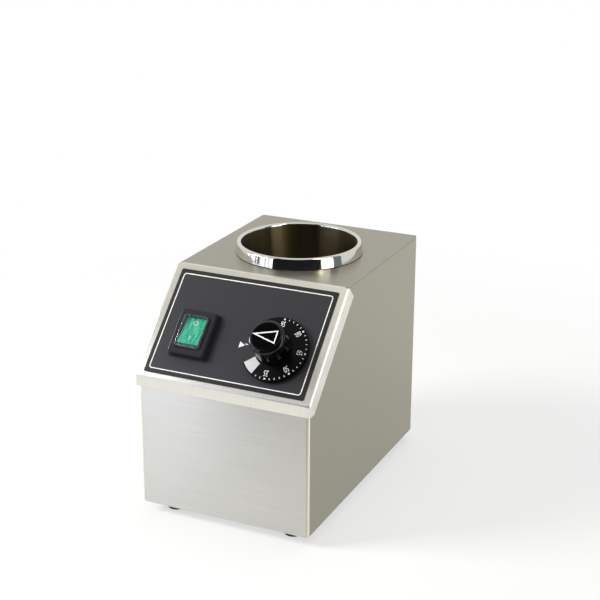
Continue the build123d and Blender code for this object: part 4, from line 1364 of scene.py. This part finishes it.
@dataclass
class Electrics:
    """Thermostat, terminals, earth and leads inside the body."""

    nodes: dict[Finish, str] = field(
        default_factory=lambda: {
            GALVANISED: "thermostat_bridge",
            STEATITE: "thermostat_body terminal_block",
            BRASS: "thermostat_tabs terminal_sleeves earth_tag",
            COPPER: "thermostat_capillary",
            ZINC_PLATE: "terminal_screws block_screws block_nuts earth_stud earth_nut",
            CONNECTOR_NYLON: "receptacles",
            SILICONE_LEAD: "wiring",
        }
    )

    def build(self) -> None:
        """Dress the inner nodes."""
        dress_nodes(self.nodes)


# ---------------------------------------------------------------------------- studio
@dataclass
class Lamp:
    """A soft box, aimed at the object. Metal shows the cards instead of it."""

    name: str
    at: tuple[float, float, float]
    size: tuple[float, float]
    watts: float
    colour: str = "#ffffff"
    aim: tuple[float, float, float] = (0.0, 0.0, 0.1)

    def build(self) -> None:
        """Hang the lamp."""
        light = bpy.data.lights.new(self.name, "AREA")
        light.shape = "RECTANGLE"
        light.size, light.size_y = self.size
        light.energy = self.watts
        light.color = linear(self.colour)[:3]
        lamp = bpy.data.objects.new(self.name, light)
        lamp.location = self.at
        towards = Vector(self.aim) - Vector(self.at)
        lamp.rotation_euler = towards.to_track_quat("-Z", "Y").to_euler()
        lamp.visible_glossy = False
        bpy.context.scene.collection.objects.link(lamp)


@dataclass
class Card:
    """A card round the object that only its reflections show, such as the dark room
    on the camera's side or a strip light beside it.

    Angles run from the front (-Y) towards the right (+X).
    """

    name: str
    from_deg: float
    to_deg: float
    colour: str
    strength: float = 1.0
    radius_mm: float = 500.0
    low_mm: float = 0.0
    high_mm: float = 1000.0
    blotch: str = ""
    blotch_mm: float = 60.0
    blotch_span: tuple[float, float] = (0.46, 0.54)
    steps: int = 24

    def build(self) -> None:
        """Stand the card up."""
        form = Form()
        profile = [(self.radius_mm, self.low_mm), (self.radius_mm, self.high_mm)]
        form.spin(profile, self.from_deg - 90, self.to_deg - self.from_deg, self.steps)
        self.show(form)

    def show(self, form: Form) -> None:
        """Make the card's object and keep it out of all but reflections.

        Args:
            form: The card's mesh.
        """
        card = form.to_stage(self.name, self.material())
        card.visible_camera = False
        card.visible_diffuse = False
        card.visible_transmission = False
        card.visible_shadow = False

    def material(self) -> bpy.types.Material:
        """Return the card's glow, blotched where it has a second colour."""
        material = bpy.data.materials.new(self.name)
        material.use_nodes = True
        tree = material.node_tree
        tree.nodes.clear()
        glow = add_node(tree, "Emission", {"Color": linear(self.colour), "Strength": self.strength})
        if self.blotch:
            where = add_node(tree, "TexCoord")
            inputs = {"Vector": where.outputs["Object"], "Scale": 1 / (self.blotch_mm * MM)}
            noise = add_node(tree, "TexNoise", inputs | {"Detail": 1.0})
            low, high = self.blotch_span
            fac = {"Value": noise.outputs["Fac"], "From Min": low, "From Max": high}
            span = add_node(tree, "MapRange", fac)
            mixed = mix_colours(tree, span.outputs[0], linear(self.colour), linear(self.blotch))
            tree.links.new(mixed, glow.inputs["Color"])
        add_node(tree, "OutputMaterial", {"Surface": glow.outputs[0]})
        return material


@dataclass
class SideCard(Card):
    """A small upright card, square to X, close beside the dial."""

    x_mm: float = -180.0
    y_mm: tuple[float, float] = (-125.0, -45.0)

    def build(self) -> None:
        """Stand the card up."""
        near, far = self.y_mm
        form = Form()
        halves = ((self.high_mm - self.low_mm) * MM / 2, (far - near) * MM / 2)
        middle = moved_mm(self.x_mm, (near + far) / 2, (self.low_mm + self.high_mm) / 2)
        place = middle @ turned(90, "Y") @ Matrix.Diagonal((*halves, 1, 1))
        bmesh.ops.create_grid(form.bm, x_segments=1, y_segments=1, size=1.0, matrix=place)
        self.show(form)


@dataclass
class Overhead(Card):
    """A round card over the object, level with the floor."""

    over_mm: tuple[float, float] = (0.0, 0.0)
    steps: int = 48

    def build(self) -> None:
        """Hang the card."""
        form = Form()
        size = {"segments": self.steps, "radius": self.radius_mm * MM}
        lift = moved_mm(*self.over_mm, self.high_mm)
        bmesh.ops.create_circle(form.bm, cap_ends=True, matrix=lift, **size)
        self.show(form)


@dataclass
class Studio:
    """Pale floor, white surround, soft boxes, cards and the photograph's viewpoint."""

    camera_mm: tuple[float, float, float] = (493.3, -1028.0, 570.3)
    target_mm: tuple[float, float, float] = (36.67, -47.34, 180.62)
    roll_deg: float = 0.176
    lens_mm: float = 86.885
    sensor_mm: float = 36.0
    floor_size: float = 14.0
    floor_drop: float = 0.0003
    shadow_share: float = 0.62
    shadow_reach: tuple[float, float] = (0.25, 0.7)
    paper: str = "#ececea"
    surround: float = 0.35
    far_clip: float = 50.0
    lamps: list[Lamp] = field(
        default_factory=lambda: [
            Lamp("key_box", (-1.05, -0.7, 0.9), (0.6, 0.6), 26.0, "#fffdf8"),
            Lamp("top_box", (0.1, 0.3, 1.3), (0.9, 0.9), 6.0),
            Lamp("fill_box", (1.1, -0.6, 0.6), (0.5, 0.8), 2.0),
        ]
    )
    cards: list[Card] = field(
        default_factory=lambda: [
            SideCard("dial_card", 0, 0, "#ffffff", 30.0, 0, 150, 182),
            Card(
                "window_card",
                -68,
                -22,
                "#e9eeff",
                3.6,
                high_mm=560,
                blotch="#1c1e22",
                blotch_mm=70.0,
            ),
            Card("room_card", -22, 66, "#222328", 1.0, high_mm=800),
            Card("strip_card", 66, 88, "#ffffff", 3.6, high_mm=560),
            Card("streak_card", 61, 72, "#ffefd2", 12.0, low_mm=600),
            Card("side_card", 88, 105, "#7f888e", 1.0, high_mm=700),
            Overhead("room_above", 0, 360, "#101010", 1.0, 240, 0, 1250, over_mm=(-460, -510)),
        ]
    )

    def build(self) -> None:
        """Set the studio up."""
        bpy.context.scene.view_settings.view_transform = "Standard"
        self.camera()
        self.floor()
        self.world()
        for light in [*self.lamps, *self.cards]:
            light.build()

    def camera(self) -> None:
        """Place the camera where the photograph was taken from."""
        data = bpy.data.cameras.new("photo_view")
        data.sensor_width = self.sensor_mm
        data.lens = self.lens_mm
        data.clip_end = self.far_clip
        camera = bpy.data.objects.new("photo_view", data)
        eye = Vector(self.camera_mm) * MM
        look = Vector(self.target_mm) * MM - eye
        roll = Quaternion((0, 0, 1), math.radians(self.roll_deg))
        camera.location = eye
        camera.rotation_euler = (look.to_track_quat("-Z", "Y") @ roll).to_euler()
        bpy.context.scene.collection.objects.link(camera)
        bpy.context.scene.camera = camera

    def seen(self, tree: bpy.types.NodeTree) -> bpy.types.NodeSocket:
        """Tell the rays that see things from those that light them.

        Args:
            tree: The node tree.

        Returns:
            A socket that is 1 for camera, glossy and transmission rays.
        """
        path = add_node(tree, "LightPath")
        seen = path.outputs["Is Camera Ray"]
        for kind in ("Is Glossy Ray", "Is Transmission Ray"):
            either = {0: seen, 1: path.outputs[kind]}
            seen = add_node(tree, "Math", either, {"operation": "MAXIMUM"}).outputs[0]
        return seen

    def floor(self) -> None:
        """Lay a white floor that keeps the object's shadow."""
        form = Form()
        bmesh.ops.create_grid(form.bm, x_segments=1, y_segments=1, size=self.floor_size / 2)
        form.place(Matrix.Translation((0, 0, -self.floor_drop)))
        material = bpy.data.materials.new("floor_paper")
        material.use_nodes = True
        tree = material.node_tree
        tree.nodes.clear()
        paper = add_node(tree, "BsdfDiffuse", {"Color": linear(self.paper)})
        glow = add_node(tree, "Emission", {"Color": (1, 1, 1, 1), "Strength": 1.0})
        where = add_node(tree, "TexCoord")
        far = add_node(tree, "VectorMath", {0: where.outputs["Object"]}, {"operation": "LENGTH"})
        near, out = self.shadow_reach
        spread = {
            "Value": far.outputs["Value"],
            "From Min": near,
            "From Max": out,
            "To Min": self.shadow_share,
            "To Max": 1.0,
        }
        share = add_node(tree, "MapRange", spread, {"interpolation_type": "SMOOTHSTEP"})
        fac = add_node(
            tree, "Math", {0: share.outputs[0], 1: self.seen(tree)}, {"operation": "MULTIPLY"}
        )
        parts = {0: fac.outputs[0], 1: paper.outputs[0], 2: glow.outputs[0]}
        mixed = add_node(tree, "MixShader", parts)
        add_node(tree, "OutputMaterial", {"Surface": mixed.outputs[0]})
        form.to_stage("floor", material)

    def world(self) -> None:
        """Surround the object with white for what is seen and grey for what is lit."""
        world = bpy.data.worlds.new("surround")
        bpy.context.scene.world = world
        world.use_nodes = True
        tree = world.node_tree
        tree.nodes.clear()
        seen = add_node(tree, "Background", {"Color": (1, 1, 1, 1), "Strength": 1.0})
        lit = add_node(tree, "Background", {"Color": (1, 1, 1, 1), "Strength": self.surround})
        parts = {0: self.seen(tree), 1: lit.outputs[0], 2: seen.outputs[0]}
        mixed = add_node(tree, "MixShader", parts)
        add_node(tree, "OutputWorld", {"Surface": mixed.outputs[0]})


def main() -> None:
    """Load the frame and build each sub-assembly around it."""
    logging.basicConfig(level=logging.INFO, format="%(name)s: %(message)s")
    FRAME.update(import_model())
    panel = Panel()
    builders: list[Callable[[], None]] = [
        Studio().build,
        Body().build,
        Well().build,
        panel.build,
        Dial(panel).build,
        Switch().build,
        Electrics().build,
    ]
    for build in builders:
        build()


if __name__ == "__main__":
    main()
